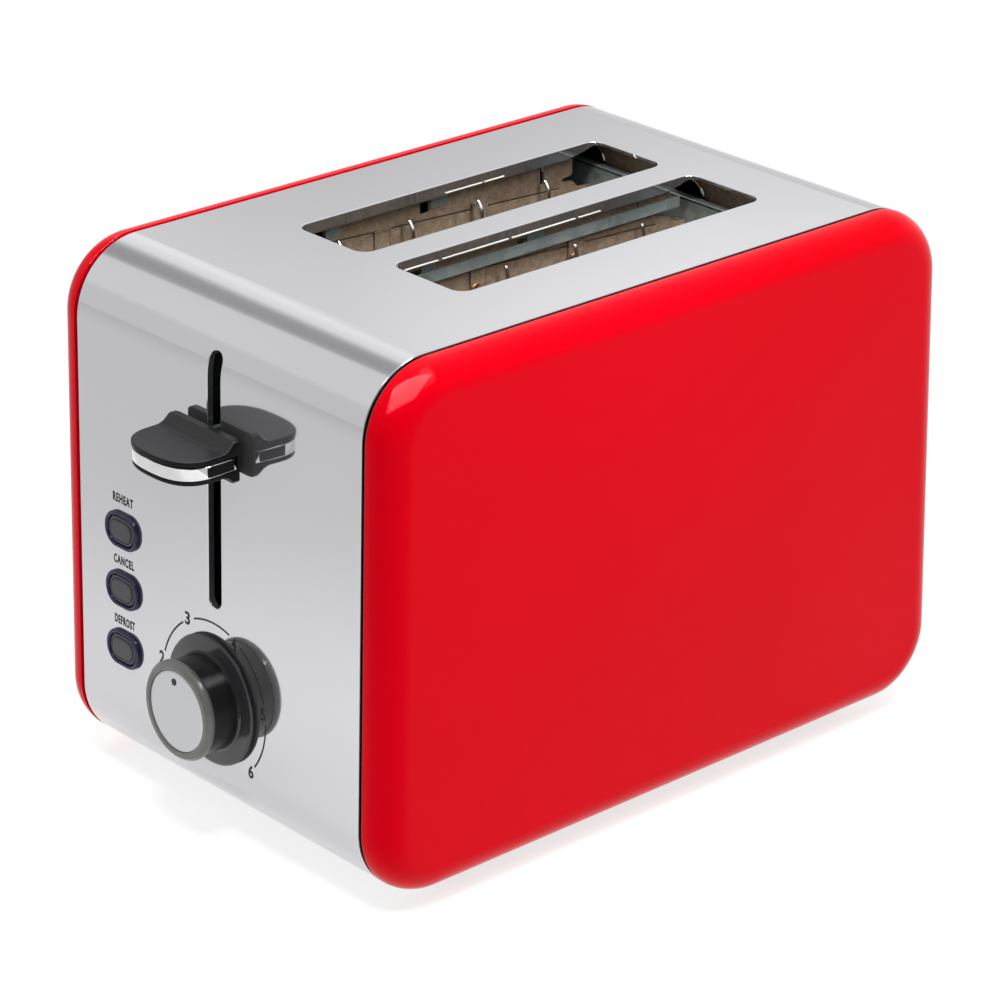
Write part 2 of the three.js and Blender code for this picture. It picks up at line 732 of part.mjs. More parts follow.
function potentiometer() {
  const body = cylinderZ(0, 0, 0, 7, 8.5, 8.5, 24);
  const bore = cylinderZ(0, 0, -1, 8, 3.5, 3.5, 20);
  const lugs = box(-6, 6, -12, -7.5, 0, 1.2);
  const shape = cut(join(body, lugs), bore);
  return shape.rotateX(Math.PI / 2).translate(KNOB_X, BOARD_Y - GAP, KNOB_Z - 0.3);
}

function electromagnet() {
  const y0 = BOARD_Y + BOARD + GAP;
  const y1 = -87;
  const core = box(-26, -6, y0, y1, 44, 48);
  const posts = [-26, -10].map((x) => box(x, x + 4, y0, y1, 44, 65.6));
  const coil = box(-21, -11, y0 + 1, y1 - 1, 47, 62);
  return join(core, ...posts, coil);
}

function armature() {
  return box(-26, -6, -105.6, -87, 118, 120);
}

function relay() {
  return box(-58, -42, BOARD_Y + BOARD + GAP, -90, 26, 48);
}

function terminalBlock() {
  const block = box(36, 62, 92, 108, 22, 34);
  return cut(block, ...[42, 49, 56].map((x) => box(x - 2.2, x + 2.2, 90, 100, 25, 31)));
}

function cordInlet() {
  const wallY = -frontY(CORD_Z);
  const flange = cylinderZ(0, 0, GAP, 2.2, 9.4, 8.6, 28);
  const neck = cylinderZ(0, 0, -5, GAP + 0.1, 5.4, 5.4, 28);
  const ring = cut(join(flange, neck), cylinderZ(0, 0, -6, 4, 3.6, 3.6, 20));
  return ring.rotateX(-Math.PI / 2).rotateX(LEAN).translate(CORD_X, wallY, CORD_Z);
}

// ---------------------------------------------------------------- assembly
function addShell() {
  add('outer_wrap', outerWrap(), STEEL);
  const panel = sidePanel();
  add('side_panel_right', panel, RED);
  add('side_panel_left', mirrorX(panel), RED);
  const seam = seamTrim();
  add('seam_trim_right', seam, BLACK);
  add('seam_trim_left', mirrorX(seam), BLACK);
  const chassis = chassisSide();
  add('chassis_side_right', chassis, GALVANISED);
  add('chassis_side_left', mirrorX(chassis), GALVANISED);
  add('base_plate', basePlate(), BLACK);
  for (const [name, x, y] of [
    ['foot_front_left', -50, -88], ['foot_front_right', 50, -88],
    ['foot_rear_left', -50, 88], ['foot_rear_right', 50, 88],
  ]) {
    add(name, foot(x, y), RUBBER);
  }
  add('crumb_tray', crumbTray(), GALVANISED);
  add('crumb_tray_grip', trayGrip(), BLACK);
  add('cord_inlet', cordInlet(), BLACK);
}

function addChamber() {
  add('front_bulkhead', frontBulkhead(), GALVANISED);
  add('rear_bulkhead', rearBulkhead(), GALVANISED);
  add('chamber_rail_left', chamberRail(-1), GALVANISED);
  add('chamber_rail_right', chamberRail(1), GALVANISED);
  add('rear_card', rearCard(), MICA);
  const cards = [
    ['left_outer', -OUTER_CARD_X, 1], ['left_inner', -INNER_CARD_X, -1],
    ['right_inner', INNER_CARD_X, 1], ['right_outer', OUTER_CARD_X, -1],
  ];
  for (const [name, x, inward] of cards) {
    add(`mica_card_${name}`, micaCard(x), MICA);
    add(`heating_element_${name}`, heatingElement(x + inward), NICHROME);
  }
  const [outer, inner] = [SLOT_X + GUIDE_X, SLOT_X - GUIDE_X];
  add('bread_guide_left_outer', breadGuide(-outer, -1, OUTER_GUIDE_TOP), CHROME);
  add('bread_guide_left_inner', breadGuide(-inner, 1, INNER_GUIDE_TOP), CHROME);
  add('bread_guide_right_inner', breadGuide(inner, -1, INNER_GUIDE_TOP), CHROME);
  add('bread_guide_right_outer', breadGuide(outer, 1, OUTER_GUIDE_TOP), CHROME);
}

function addCarriage() {
  add('lever_upper', leverUpper(), CHARCOAL);
  add('lever_lower', leverLower(), CHARCOAL);
  add('lever_trim', leverTrim(), CHROME);
  add('lever_stem', leverStem(), GALVANISED);
  add('carriage_bracket', carriageBracket(), GALVANISED);
  add('armature', armature(), GALVANISED);
  add('bread_rack_left', breadRack(-SLOT_X), GALVANISED);
  add('bread_rack_right', breadRack(SLOT_X), GALVANISED);
  add('guide_rod', cylinderZ(ROD_X, ROD_Y, BASE_Z1 + GAP, 181, ROD_R, ROD_R, 20), CHROME);
  add('return_spring', returnSpring(), CHROME);
}

function addControls() {
  add('knob_body', knobBody(), BLACK);
  add('knob_bezel', knobBezel(), CHARCOAL);
  add('knob_disc', knobDisc(), ALUMINIUM);
  add('knob_pointer', knobPointer(), CHARCOAL);
  ['reheat', 'cancel', 'defrost'].forEach((name, i) => {
    add(`button_bezel_${name}`, buttonBezel(BUTTON_Z[i]), NAVY);
    add(`button_${name}`, buttonCap(BUTTON_Z[i]), CHARCOAL);
    add(`switch_${name}`, buttonSwitch(BUTTON_Z[i]), BLACK);
  });
}

function addElectrics() {
  add('control_board', controlBoard(), CIRCUIT);
  add('potentiometer', potentiometer(), CHARCOAL);
  add('electromagnet', electromagnet(), COPPER);
  add('relay', relay(), BLACK);
  add('terminal_block', terminalBlock(), CHARCOAL);
}

addShell();
addChamber();
addCarriage();
addControls();
addElectrics();

// the origin is the middle of the bounding box, at the table
const bounds = new THREE.Box3().setFromObject(toaster);
const centre = bounds.getCenter(new THREE.Vector3());
for (const mesh of toaster.children) {
  mesh.geometry.translate(-centre.x, -centre.y, -bounds.min.z);
}

export default toaster;
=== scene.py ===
import json
import math

import bmesh
import bpy
import numpy as np
from mathutils import Matrix, Vector
from mathutils.geometry import delaunay_2d_cdt

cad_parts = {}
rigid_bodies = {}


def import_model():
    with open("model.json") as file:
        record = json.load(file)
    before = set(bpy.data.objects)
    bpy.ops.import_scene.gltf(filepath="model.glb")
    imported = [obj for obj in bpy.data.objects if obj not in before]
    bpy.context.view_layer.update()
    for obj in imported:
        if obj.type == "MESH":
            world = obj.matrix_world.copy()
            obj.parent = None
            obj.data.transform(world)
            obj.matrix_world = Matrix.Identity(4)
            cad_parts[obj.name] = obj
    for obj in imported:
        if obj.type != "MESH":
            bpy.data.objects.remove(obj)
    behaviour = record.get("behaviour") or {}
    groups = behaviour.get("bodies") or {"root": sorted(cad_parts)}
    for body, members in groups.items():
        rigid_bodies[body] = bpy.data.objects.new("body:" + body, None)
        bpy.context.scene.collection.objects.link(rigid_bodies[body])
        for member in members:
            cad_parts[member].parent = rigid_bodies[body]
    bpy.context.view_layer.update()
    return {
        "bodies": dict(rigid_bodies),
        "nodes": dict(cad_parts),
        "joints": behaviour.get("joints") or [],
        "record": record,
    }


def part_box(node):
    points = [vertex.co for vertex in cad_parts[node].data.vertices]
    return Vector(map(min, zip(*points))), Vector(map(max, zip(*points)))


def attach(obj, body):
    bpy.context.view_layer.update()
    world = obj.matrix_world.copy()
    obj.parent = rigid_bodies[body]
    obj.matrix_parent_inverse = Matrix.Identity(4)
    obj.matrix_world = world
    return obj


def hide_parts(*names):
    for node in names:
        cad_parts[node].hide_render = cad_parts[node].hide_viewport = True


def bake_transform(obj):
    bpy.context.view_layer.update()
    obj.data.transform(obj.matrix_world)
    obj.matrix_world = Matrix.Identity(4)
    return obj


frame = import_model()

# ---- datum and sizes, in mm
# Points are written in the toaster's own frame: x across, y from front to back,
# z up from the underside of the steel. ORIGIN carries them to the row frame.
MM = 0.001
TURN = 2 * math.pi
wrap_low, wrap_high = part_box("outer_wrap")
ORIGIN = np.array([0.0, (wrap_low.y + wrap_high.y) / 2, wrap_low.z])
BODY_H = (wrap_high.z - wrap_low.z) / MM
WRAP_W = (wrap_high.x - wrap_low.x) / MM
HALF_LEN_TOP = 125.5
DRAFT = 0.026
LEAN = math.atan(DRAFT)
CORNER_R = 25.4
SHEET = 0.8
LIP_HALF_LEN = 97
CORNER_STEPS = 20

SEAM_X = 74.3
SEAM_W = 0.9
SEAM_INSET = 0.9
PANEL_X0 = 75.5
PANEL_D = 12.6
PANEL_EDGE_R = 10.6
PANEL_CROWN = 1.4
PANEL_WALL = 1.4

SLOT_X = 24.5
SLOT_W = 35.2
SLOT_Y = (-57.2, 80.5)
SLOT_R = 5
RIM_BEND = 0.35
SLOT_FOLD = 4.4
LEVER_SLOT_FOLD = 2.6
LEVER_SLOT_W = 6.8
LEVER_SLOT_Z = (80, 170)
TRAY_WINDOW_HALF_W = 52
TRAY_WINDOW_Z = (3.0, 12.8)

KNOB_X = -1.0
KNOB_Z = 46.7
KNOB_HOLE = 8.4
BUTTON_X = -49.8
BUTTONS = {"reheat": 91.2, "cancel": 69.4, "defrost": 47.5}
BUTTON_HOLE = (14.6, 11)
CORD_X = 50
CORD_Z = 30
CORD_HOLE = 12
LEVER_Z = 138
CHAMBER_Y = (-61.3, 84)


def front_y(z):
    return -(HALF_LEN_TOP + DRAFT * (BODY_H - z))


def on_front(points, x, z):
    """From the front face's own frame (x right, y up, z outwards) to the toaster's."""
    c, s = math.cos(LEAN), math.sin(LEAN)
    axes = np.array([[1, 0, 0], [0, s, c], [0, -c, s]])
    return np.asarray(points, float) @ axes + np.array([x, front_y(z), z])


# ---- shader nodes and materials
def add_node(tree, kind, inputs=(), **settings):
    """A shader node with its settings made; each input is linked to a socket or set to a value."""
    node = tree.nodes.new("ShaderNode" + kind)
    for key, value in settings.items():
        setattr(node, key, value)
    for key, value in dict(inputs).items():
        if isinstance(value, bpy.types.NodeSocket):
            tree.links.new(value, node.inputs[key])
        else:
            node.inputs[key].default_value = value
    return node


def add_ramp(tree, fac, stops):
    """A colour ramp; each stop is (position, colour or grey level)."""
    node = add_node(tree, "ValToRGB", {"Fac": fac})
    elements = node.color_ramp.elements
    while len(elements) < len(stops):
        elements.new(0.5)
    for element, (at, color) in zip(elements, stops):
        element.position = at
        element.color = (*np.broadcast_to(color, 3).tolist(), 1)
    return node.outputs["Color"]


class Finish:
    """A Principled material with helpers for procedural detail in object space, in metres."""

    def __init__(self, name, color, roughness, metallic=0.0, **sockets):
        self.material = bpy.data.materials.new(name)
        self.material.use_nodes = True
        self.tree = self.material.node_tree
        self.inputs = self.tree.nodes["Principled BSDF"].inputs
        self.coords = add_node(self.tree, "TexCoord").outputs["Object"]
        values = {"Base Color": (*color, 1), "Roughness": roughness, "Metallic": metallic}
        for key, value in (values | sockets).items():
            self.inputs[key.replace("_", " ")].default_value = value

    def texture(self, kind, output, stretch=(1, 1, 1), **inputs):
        spot = add_node(self.tree, "Mapping", {"Vector": self.coords, "Scale": stretch})
        inputs["Vector"] = spot.outputs["Vector"]
        return add_node(self.tree, "Tex" + kind, inputs).outputs[output]

    def noise(self, scale, detail=3, rough=0.5, stretch=(1, 1, 1)):
        return self.texture("Noise", "Fac", stretch, Scale=scale, Detail=detail, Roughness=rough)

    def vary(self, socket, fac, *stops):
        """Drives a socket of the shader by a ramp."""
        self.tree.links.new(add_ramp(self.tree, fac, stops), self.inputs[socket])

    def multiply(self, *colors):
        """Drives the base colour by the product of colours."""
        product = colors[0]
        for color in colors[1:]:
            node = add_node(self.tree, "Mix", {"Factor": 1.0, "A": product, "B": color},
                            data_type="RGBA", blend_type="MULTIPLY")
            product = node.outputs["Result"]
        self.tree.links.new(product, self.inputs["Base Color"])

    def bump(self, height, distance, strength=0.5):
        node = add_node(self.tree, "Bump",
                        {"Strength": strength, "Distance": distance, "Height": height})
        self.tree.links.new(node.outputs["Normal"], self.inputs["Normal"])


def shades(color, *factors):
    return [tuple(min(1, c * factor) for c in color) for factor in factors]


def steel_finish():
    """Satin stainless sheet with a faint grain along its rolling direction."""
    finish = Finish("satin_steel", (0.55, 0.55, 0.555), 0.05, 0.92)
    grain = finish.noise(90, 4, 0.6, (40, 1, 1))
    clouds = finish.noise(9, 2)
    finish.vary("Roughness", grain, (0.3, 0.04), (0.7, 0.065))
    finish.vary("Base Color", clouds, (0.3, (0.53, 0.53, 0.547)), (0.7, (0.555, 0.555, 0.573)))
    finish.bump(grain, 0.000002, 0.4)
    return finish.material


def enamel_finish():
    """Saturated red gloss enamel over pressed steel, with slight orange peel."""
    finish = Finish("red_enamel", (0.535, 0.0, 0.006), 0.1, IOR=1.18,
                    Specular_Tint=(1.0, 0.1, 0.11, 1.0))
    tone = finish.noise(7, 2)
    finish.vary("Base Color", tone, (0.3, (0.52, 0.0, 0.005)), (0.7, (0.55, 0.0, 0.007)))
    finish.bump(finish.noise(170, 2, 0.4), 0.00002, 0.12)
    return finish.material


def plastic_finish(name, color, roughness, grain=0.00003, scale=1400, specular=0.5):
    """Moulded plastic: fine grain, a little tone variation and uneven gloss."""
    finish = Finish(name, color, roughness, Specular_IOR_Level=specular)
    low, high = shades(color, 0.85, 1.2)
    finish.vary("Base Color", finish.noise(60, 3, 0.6), (0.3, low), (0.7, high))
    wear = finish.noise(25, 4, 0.6)
    finish.vary("Roughness", wear, (0.3, roughness * 0.88), (0.75, roughness * 1.15))
    finish.bump(finish.noise(scale, 2), grain)
    return finish.material


def galvanised_finish(name, dull, bright, metallic):
    """Zinc-coated sheet: soft spangle, cool grey-green."""
    finish = Finish(name, bright, 0.38, metallic)
    spangle = finish.texture("Voronoi", "Color", Scale=240)
    stain = finish.noise(22, 4, 0.6)
    finish.multiply(
        add_ramp(finish.tree, spangle, [(0.1, dull), (0.9, bright)]),
        add_ramp(finish.tree, stain, [(0.25, (0.72, 0.73, 0.72)), (0.8, 1.0)]),
    )
    finish.vary("Roughness", stain, (0.3, 0.3), (0.8, 0.46))
    finish.bump(finish.noise(500, 2), 0.00002, 0.4)
    return finish.material


def mica_finish():
    """Pressed mica board: brown, mottled and flecked."""
    finish = Finish("mica", (0.42, 0.31, 0.22), 0.5, Specular_IOR_Level=0.5)
    mottle = finish.noise(420, 6, 0.8)
    fleck = finish.texture("Voronoi", "Distance", Scale=750)
    browns = [(0.3, (0.2, 0.14, 0.092)), (0.52, (0.34, 0.25, 0.175)), (0.75, (0.52, 0.41, 0.305))]
    finish.multiply(
        add_ramp(finish.tree, mottle, browns),
        add_ramp(finish.tree, fleck, [(0.08, (0.22, 0.2, 0.17)), (0.2, 1.0)]),
        add_ramp(finish.tree, finish.noise(18, 3, 0.6), [(0.3, (0.75, 0.72, 0.68)), (0.7, 1.0)]),
    )
    finish.vary("Roughness", mottle, (0.3, 0.35), (0.7, 0.6))
    finish.bump(mottle, 0.0001)
    return finish.material


def metal_finish(name, color, roughness, streak=(1, 1, 1), depth=0.000004):
    """Bare metal with a fine grain."""
    finish = Finish(name, color, roughness, 1.0)
    grain = finish.noise(300, 4, 0.6, streak)
    low, high = shades(color, 0.93, 1.05)
    finish.vary("Base Color", grain, (0.3, low), (0.7, high))
    finish.vary("Roughness", grain, (0.3, roughness * 0.85), (0.7, roughness * 1.2))
    finish.bump(grain, depth)
    return finish.material


def disc_finish():
    """Aluminium with fine turning rings round the knob's axis."""
    finish = Finish("turned_disc", (0.47, 0.475, 0.488), 0.32, 0.9)
    axis = tuple(ORIGIN + np.array([KNOB_X, 0, KNOB_Z]) * MM)
    shift = add_node(finish.tree, "VectorMath", {0: finish.coords, 1: axis}, operation="SUBTRACT")
    rings = add_node(
        finish.tree, "TexWave",
        {"Vector": shift.outputs["Vector"], "Scale": 900, "Distortion": 1.5, "Detail Scale": 60},
        wave_type="RINGS", rings_direction="Y",
    ).outputs["Fac"]
    finish.vary("Base Color", rings, (0.0, (0.455, 0.46, 0.473)), (1.0, (0.485, 0.49, 0.502)))
    finish.vary("Roughness", rings, (0.0, 0.3), (1.0, 0.36))
    finish.bump(rings, 0.000002)
    return finish.material


STEEL = steel_finish()
ENAMEL = enamel_finish()
GALVANISED = galvanised_finish("galvanised", (0.30, 0.345, 0.345), (0.42, 0.47, 0.465), 0.85)
CHAMBER_ZINC = galvanised_finish("chamber_zinc", (0.32, 0.38, 0.375), (0.47, 0.54, 0.53), 0.5)
MICA = mica_finish()
SEAM_BLACK = plastic_finish("seam_black", (0.012, 0.012, 0.013), 0.45)
CHARCOAL = plastic_finish("charcoal_plastic", (0.0145, 0.0145, 0.0158), 0.36, 0.00003, 1100, 0.22)
GLOSS_BLACK = plastic_finish("gloss_black", (0.006, 0.006, 0.0068), 0.3, 0.000004, 500, 0.22)
# painted shade and reflection: a deeper black for the lever shells' upright walls and for the dark
# strips on the band's sides
PAINTED_SHADE_AND_REFLECTION = plastic_finish("painted_shade_and_reflection_black", (0.003, 0.003, 0.0035), 0.35, 0.00001, 900, 0.12)
# painted sheen: a lighter, glossier copy of the knob's black for its forward-facing faces
PAINTED_SHEEN_BLACK = plastic_finish("painted_sheen_black", (0.02, 0.02, 0.022), 0.16, 0.000004, 500)
# painted highlight: a bright plastic for the strips that stand in for glints along the slot rims
PAINTED_GLINT = plastic_finish("painted_rim_glint", (0.85, 0.82, 0.77), 0.35, 0.000004, 500)
RING_GREY = plastic_finish("ring_grey", (0.1, 0.1, 0.095), 0.22, 0.000006, 600)
NAVY = plastic_finish("navy_plastic", (0.012, 0.011, 0.045), 0.22, 0.00001, 800, 0.3)
CAP_GREY = plastic_finish("cap_grey", (0.03, 0.03, 0.036), 0.36, 0.00003, 1200, 0.35)
PRINT = plastic_finish("print_ink", (0.004, 0.004, 0.005), 0.6, 0.000002, 900)
RUBBER = plastic_finish("rubber", (0.015, 0.015, 0.015), 0.8, 0.00008, 700)
BASE_BLACK = plastic_finish("painted_base", (0.02, 0.02, 0.021), 0.5, 0.00005, 500)
CIRCUIT = plastic_finish("circuit_board", (0.012, 0.1, 0.035), 0.35, 0.00002, 700)
NICHROME = metal_finish("nichrome", (0.2, 0.17, 0.14), 0.5)
BRIGHT_WIRE = metal_finish("bright_wire", (0.72, 0.71, 0.69), 0.16)
CHROME = metal_finish("chrome", (0.68, 0.68, 0.69), 0.05, depth=0.0000005)
DISC = disc_finish()
COPPER = metal_finish("copper_coil", (0.6, 0.26, 0.1), 0.35, (1, 1, 12), 0.00003)


# ---- mesh helpers
SHARP_ANGLE = math.radians(35)


def mend(mesh, merge=None):
    """Joins vertices closer than merge, in metres, and points the faces outwards."""
    work = bmesh.new()
    work.from_mesh(mesh)
    if merge:
        bmesh.ops.remove_doubles(work, verts=work.verts, dist=merge)
    bmesh.ops.recalc_face_normals(work, faces=work.faces)
    work.to_mesh(mesh)
    work.free()


def piece(name, mesh_data, material, body, replaces=(), weighted=True):
    """Makes the object, in the row frame, and has it ride on its CAD body."""
    verts, faces, normals = (*mesh_data, None)[:3]
    mesh = bpy.data.meshes.new(name)
    mesh.from_pydata((np.asarray(verts, float) * MM + ORIGIN).tolist(), [], faces)
    mesh.materials.append(material)
    made = bpy.data.objects.new(name, mesh)
    bpy.context.scene.collection.objects.link(made)
    if normals is None:
        mend(mesh)
        mesh.shade_smooth()
        mesh.set_sharp_from_angle(angle=SHARP_ANGLE)
        if weighted:
            made.modifiers.new("even_shading", "WEIGHTED_NORMAL").keep_sharp = True
    else:
        mesh.shade_smooth()
        mesh.normals_split_custom_set_from_vertices(np.asarray(normals, float).tolist())
    if body:
        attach(made, body)
    if replaces:
        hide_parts(*replaces)
    return made


def second_material(made, material, picks):
    """Gives the faces whose normal (x, y, z) picks out the second material."""
    made.data.materials.append(material)
    for face in made.data.polygons:
        if picks(face.normal):
            face.material_index = 1


def together(*parts):
    """Several (verts, faces) as one."""
    verts, faces, at = [], [], 0
    for part_verts, part_faces in parts:
        verts.append(np.asarray(part_verts, float))
        faces += [tuple(i + at for i in face) for face in part_faces]
        at += len(part_verts)
    return np.vstack(verts), faces


def loft(rings, loop=False):
    """Joins equal closed rings; the first and last are capped, or joined if loop is set."""
    count, total = len(rings[0]), len(rings)
    faces = []
    for k in range(total if loop else total - 1):
        a, b = k * count, (k + 1) % total * count
        faces += [(a + i, a + (i + 1) % count, b + (i + 1) % count, b + i) for i in range(count)]
    if not loop:
        faces += [tuple(range(count)), tuple(range((total - 1) * count, total * count))]
    return np.vstack([np.asarray(ring, float) for ring in rings]), faces


def lathe(profile, sides=96, loop=False):
    """Turns (radius, height) points about z. Points on the axis become poles."""
    angles = np.arange(sides) * TURN / sides
    verts, faces, rows = [], [], []
    for r, h in profile:
        ring = [(r * math.cos(a), r * math.sin(a), h) for a in angles] if r > 1e-6 else [(0, 0, h)]
        rows.append(range(len(verts), len(verts) + len(ring)))
        verts += ring
    for low, high in zip(rows, rows[1:] + rows[:1] if loop else rows[1:]):
        for i in range(sides):
            corners = ((low, i), (low, i + 1), (high, i + 1), (high, i))
            face = tuple(dict.fromkeys(row[k % len(row)] for row, k in corners))
            if len(face) > 2:
                faces.append(face)
    return np.array(verts, float), faces


def rounded_profile(corners, steps=5):
    """(a, b, radius) corners of a line, each turned into an arc that touches both sides."""
    points = [corners[0][:2]]
    for before, (a, b, radius), after in zip(corners, corners[1:], corners[2:]):
        here = np.array([a, b], float)
        if radius <= 0:
            points.append(here)
            continue
        before, after = (np.array(other[:2], float) - here for other in (before, after))
        before /= np.linalg.norm(before)
        after /= np.linalg.norm(after)
        half = math.acos(np.clip(before @ after, -1, 1)) / 2
        reach = radius / math.tan(half)
        centre = here + (before + after) / np.linalg.norm(before + after) * radius / math.sin(half)
        first, last = (math.atan2(*(here + way * reach - centre)[::-1]) for way in (before, after))
        sweep = (last - first + math.pi) % TURN - math.pi
        for i in range(steps + 1):
            angle = first + sweep * i / steps
            points.append(centre + radius * np.array([math.cos(angle), math.sin(angle)]))
    return np.array([*points, corners[-1][:2]], float)


def tube(path, radius, sides=12):
    """A wire along a path, with rounded ends."""
    path = [np.array(p, float) for p in path]
    side, frames = None, []
    for i, p in enumerate(path):
        t = path[min(i + 1, len(path) - 1)] - path[max(i - 1, 0)]
        t /= np.linalg.norm(t)
        side = np.cross(t, [0.31, 0.17, 0.93]) if side is None else side
        side = side - t * (side @ t)
        side /= np.linalg.norm(side)
        frames.append((p, t, side, np.cross(t, side)))
    ends = [(share, math.sqrt(1 - share * share)) for share in (0.25, 0.6, 0.87)]
    rows = [(*frames[0], share, -reach) for share, reach in ends]
    rows += [(*frame, 1, 0) for frame in frames]
    rows += [(*frames[-1], share, reach) for share, reach in reversed(ends)]
    angles = [TURN * k / sides for k in range(sides)]
    return loft([
        [p + radius * (reach * t + share * (math.cos(w) * a + math.sin(w) * b)) for w in angles]
        for p, t, a, b, share, reach in rows
    ])


def rounded_rect(cx, cy, w, h, r, steps=8):
    """Counterclockwise outline."""
    points = []
    for quarter, (sx, sy) in enumerate(((1, -1), (1, 1), (-1, 1), (-1, -1))):
        x, y = cx + sx * (w / 2 - r), cy + sy * (h / 2 - r)
        for i in range(steps + 1):
            angle = math.radians(90 * (quarter - 1 + i / steps))
            points.append((x + r * math.cos(angle), y + r * math.sin(angle)))
    return np.array(points)


def divide(points, longest):
    """Adds points so that no side is longer than that."""
    out = []
    for a, b in zip(points, np.roll(points, -1, 0)):
        n = max(1, math.ceil(np.linalg.norm(b - a) / longest))
        out += [a + (b - a) * i / n for i in range(n)]
    return np.array(out)


def outward(points):
    """Unit normals of a counterclockwise outline, and the mitred offset of 1 at each point."""
    edge = np.roll(points, -1, 0) - points
    after = np.stack([edge[:, 1], -edge[:, 0]], 1) / np.linalg.norm(edge, axis=1)[:, None]
    before = np.roll(after, 1, 0)
    normal = before + after
    normal /= np.linalg.norm(normal, axis=1)[:, None]
    return normal, normal / np.clip((normal * before).sum(1), 0.6, 1)[:, None]


def offset(outline, distance):
    """The outline moved inwards."""
    return outline - outward(outline)[1] * distance


def inside(points, outline):
    """Which points lie within the outline."""
    x, y = points.T
    hit = np.zeros(len(points), bool)
    for (x0, y0), (x1, y1) in zip(outline, np.roll(outline, -1, 0)):
        if y0 != y1:
            hit ^= ((y0 > y) != (y1 > y)) & (x < (x1 - x0) * (y - y0) / (y1 - y0) + x0)
    return hit


def closed(first, count):
    """The edges of a closed ring of vertices."""
    return [(first + i, first + (i + 1) % count) for i in range(count)]


def triangulate(flat, edges):
    """(points, triangles, each old point's new index) of a plane figure."""
    found, _, triangles, origin, _, _ = delaunay_2d_cdt(
        [Vector(p) for p in flat], edges, [], 0, 1e-7
    )
    index = {old: new for new, olds in enumerate(origin) for old in olds}
    return np.array([tuple(p) for p in found]), np.array(triangles), index


def arc_rim(centre, radius, first, last, steps, sign=1):
    """(offset, depth, normal along offset, normal along depth) round a fold."""
    angles = [math.radians(first + (last - first) * i / steps) for i in range(steps + 1)]
    return [
        (centre[0] - radius * math.sin(a), centre[1] - radius * math.cos(a),
         -sign * math.sin(a), sign * math.cos(a))
        for a in angles
    ]


def folded_rim(depth, bend=RIM_BEND, thick=SHEET / 2):
    """Edge of an opening folded down into the body, with a rounded lower edge."""
    half = thick / 2
    rim = arc_rim((bend, bend), bend, 0, 90, 6)
    rim += arc_rim((half, depth - half), half, 90, 270, 6)
    return rim + arc_rim((bend, bend), bend - thick, 90, 0, 3, -1)


def cut_rim(ease, thick=SHEET):
    """Edge of a punched opening, slightly eased."""
    rim = arc_rim((ease, ease), ease, 0, 90, 3)
    return rim + arc_rim((ease, thick - ease), ease, 90, 180, 3)


def outer_rim(ease, thick):
    """The same for a sheet's own outline, where offset runs away from the sheet."""
    return [(ease - o, d, -n, m) for o, d, n, m in cut_rim(ease, thick)]


def sheet(place, outline, holes, thick, ease=0.15, points=(), lines=()):
    """A plate of even thickness: (verts, faces, normals).
    place(u, v) gives a point, the directions of u and v, and the outward normal.
    holes is a list of (outline, rim) or (outline, rim, share of the rim's depth at a point)."""
    flat, edges, loops = [], [], []
    for edge, rim, *share in [(outline, outer_rim(ease, thick)), *holes]:
        edge = np.asarray(edge, float)
        normal, mitre = outward(edge)
        skin = edge + mitre * rim[0][0]
        loops.append((edge, normal, mitre, rim, share, skin, len(flat)))
        edges += closed(len(flat), len(skin))
        flat += skin.tolist()
    for line in lines:
        ends = []
        for p in line:
            near = [i for i, q in enumerate(flat) if abs(q[0] - p[0]) + abs(q[1] - p[1]) < 1e-6]
            ends.append(near[0] if near else len(flat))
            if not near:
                flat.append(list(p))
        edges.append(tuple(ends))
    flat += [list(p) for p in points]
    found, triangles, index = triangulate(flat, edges)
    middles = found[triangles].mean(1)
    keep = inside(middles, loops[0][5])
    for loop in loops[1:]:
        keep &= ~inside(middles, loop[5])
    triangles = triangles[keep]
    verts, normals, faces = [], [], []

    def vertex(u, v, depth, along, n_off, n_out):
        p, eu, ev, en = place(u, v)
        verts.append(p - en * depth)
        normals.append(n_off * (along[0] * eu + along[1] * ev) + n_out * en)
        return len(verts) - 1

    top = [vertex(u, v, 0, (0, 0), 0, 1) for u, v in found]
    under = [vertex(u, v, thick, (0, 0), 0, -1) for u, v in found]
    _, eu, ev, en = place(*middles[keep][0])
    a, b, c = found[triangles[0]]
    flip = (np.cross(eu, ev) @ en) * np.linalg.det([b - a, c - a]) < 0
    for a, b, c in triangles.tolist():
        if flip:
            a, b = b, a
        faces += [(top[a], top[b], top[c]), (under[b], under[a], under[c])]
    for edge, normal, mitre, rim, share, skin, first in loops:
        n = len(edge)
        rows = [[top[index[first + i]] for i in range(n)]]
        for out, depth, n_off, n_out in rim[1:-1]:
            row = []
            for i in range(n):
                deep = 1 + (depth - 1) * share[0](edge[i]) if share and depth > 1 else depth
                row.append(vertex(*edge[i] + mitre[i] * out, deep, normal[i], n_off, n_out))
            rows.append(row)
        rows.append([under[index[first + i]] for i in range(n)])
        low, high = rows[len(rows) // 2:][:2]
        across = np.cross(verts[high[1]] - verts[low[0]], verts[high[0]] - verts[low[1]])
        turned = -1 if across @ normals[low[0]] < 0 else 1
        for low, high in zip(rows, rows[1:]):
            for i, j in closed(0, n):
                faces.append((low[i], low[j], high[j], high[i])[::turned])
    return np.array(verts), faces, np.array(normals)


# ---- the side view
def corner_y(z):
    """How far out the centre of a corner at that height is."""
    return HALF_LEN_TOP - CORNER_R * math.hypot(1, DRAFT) + DRAFT * (BODY_H - z)


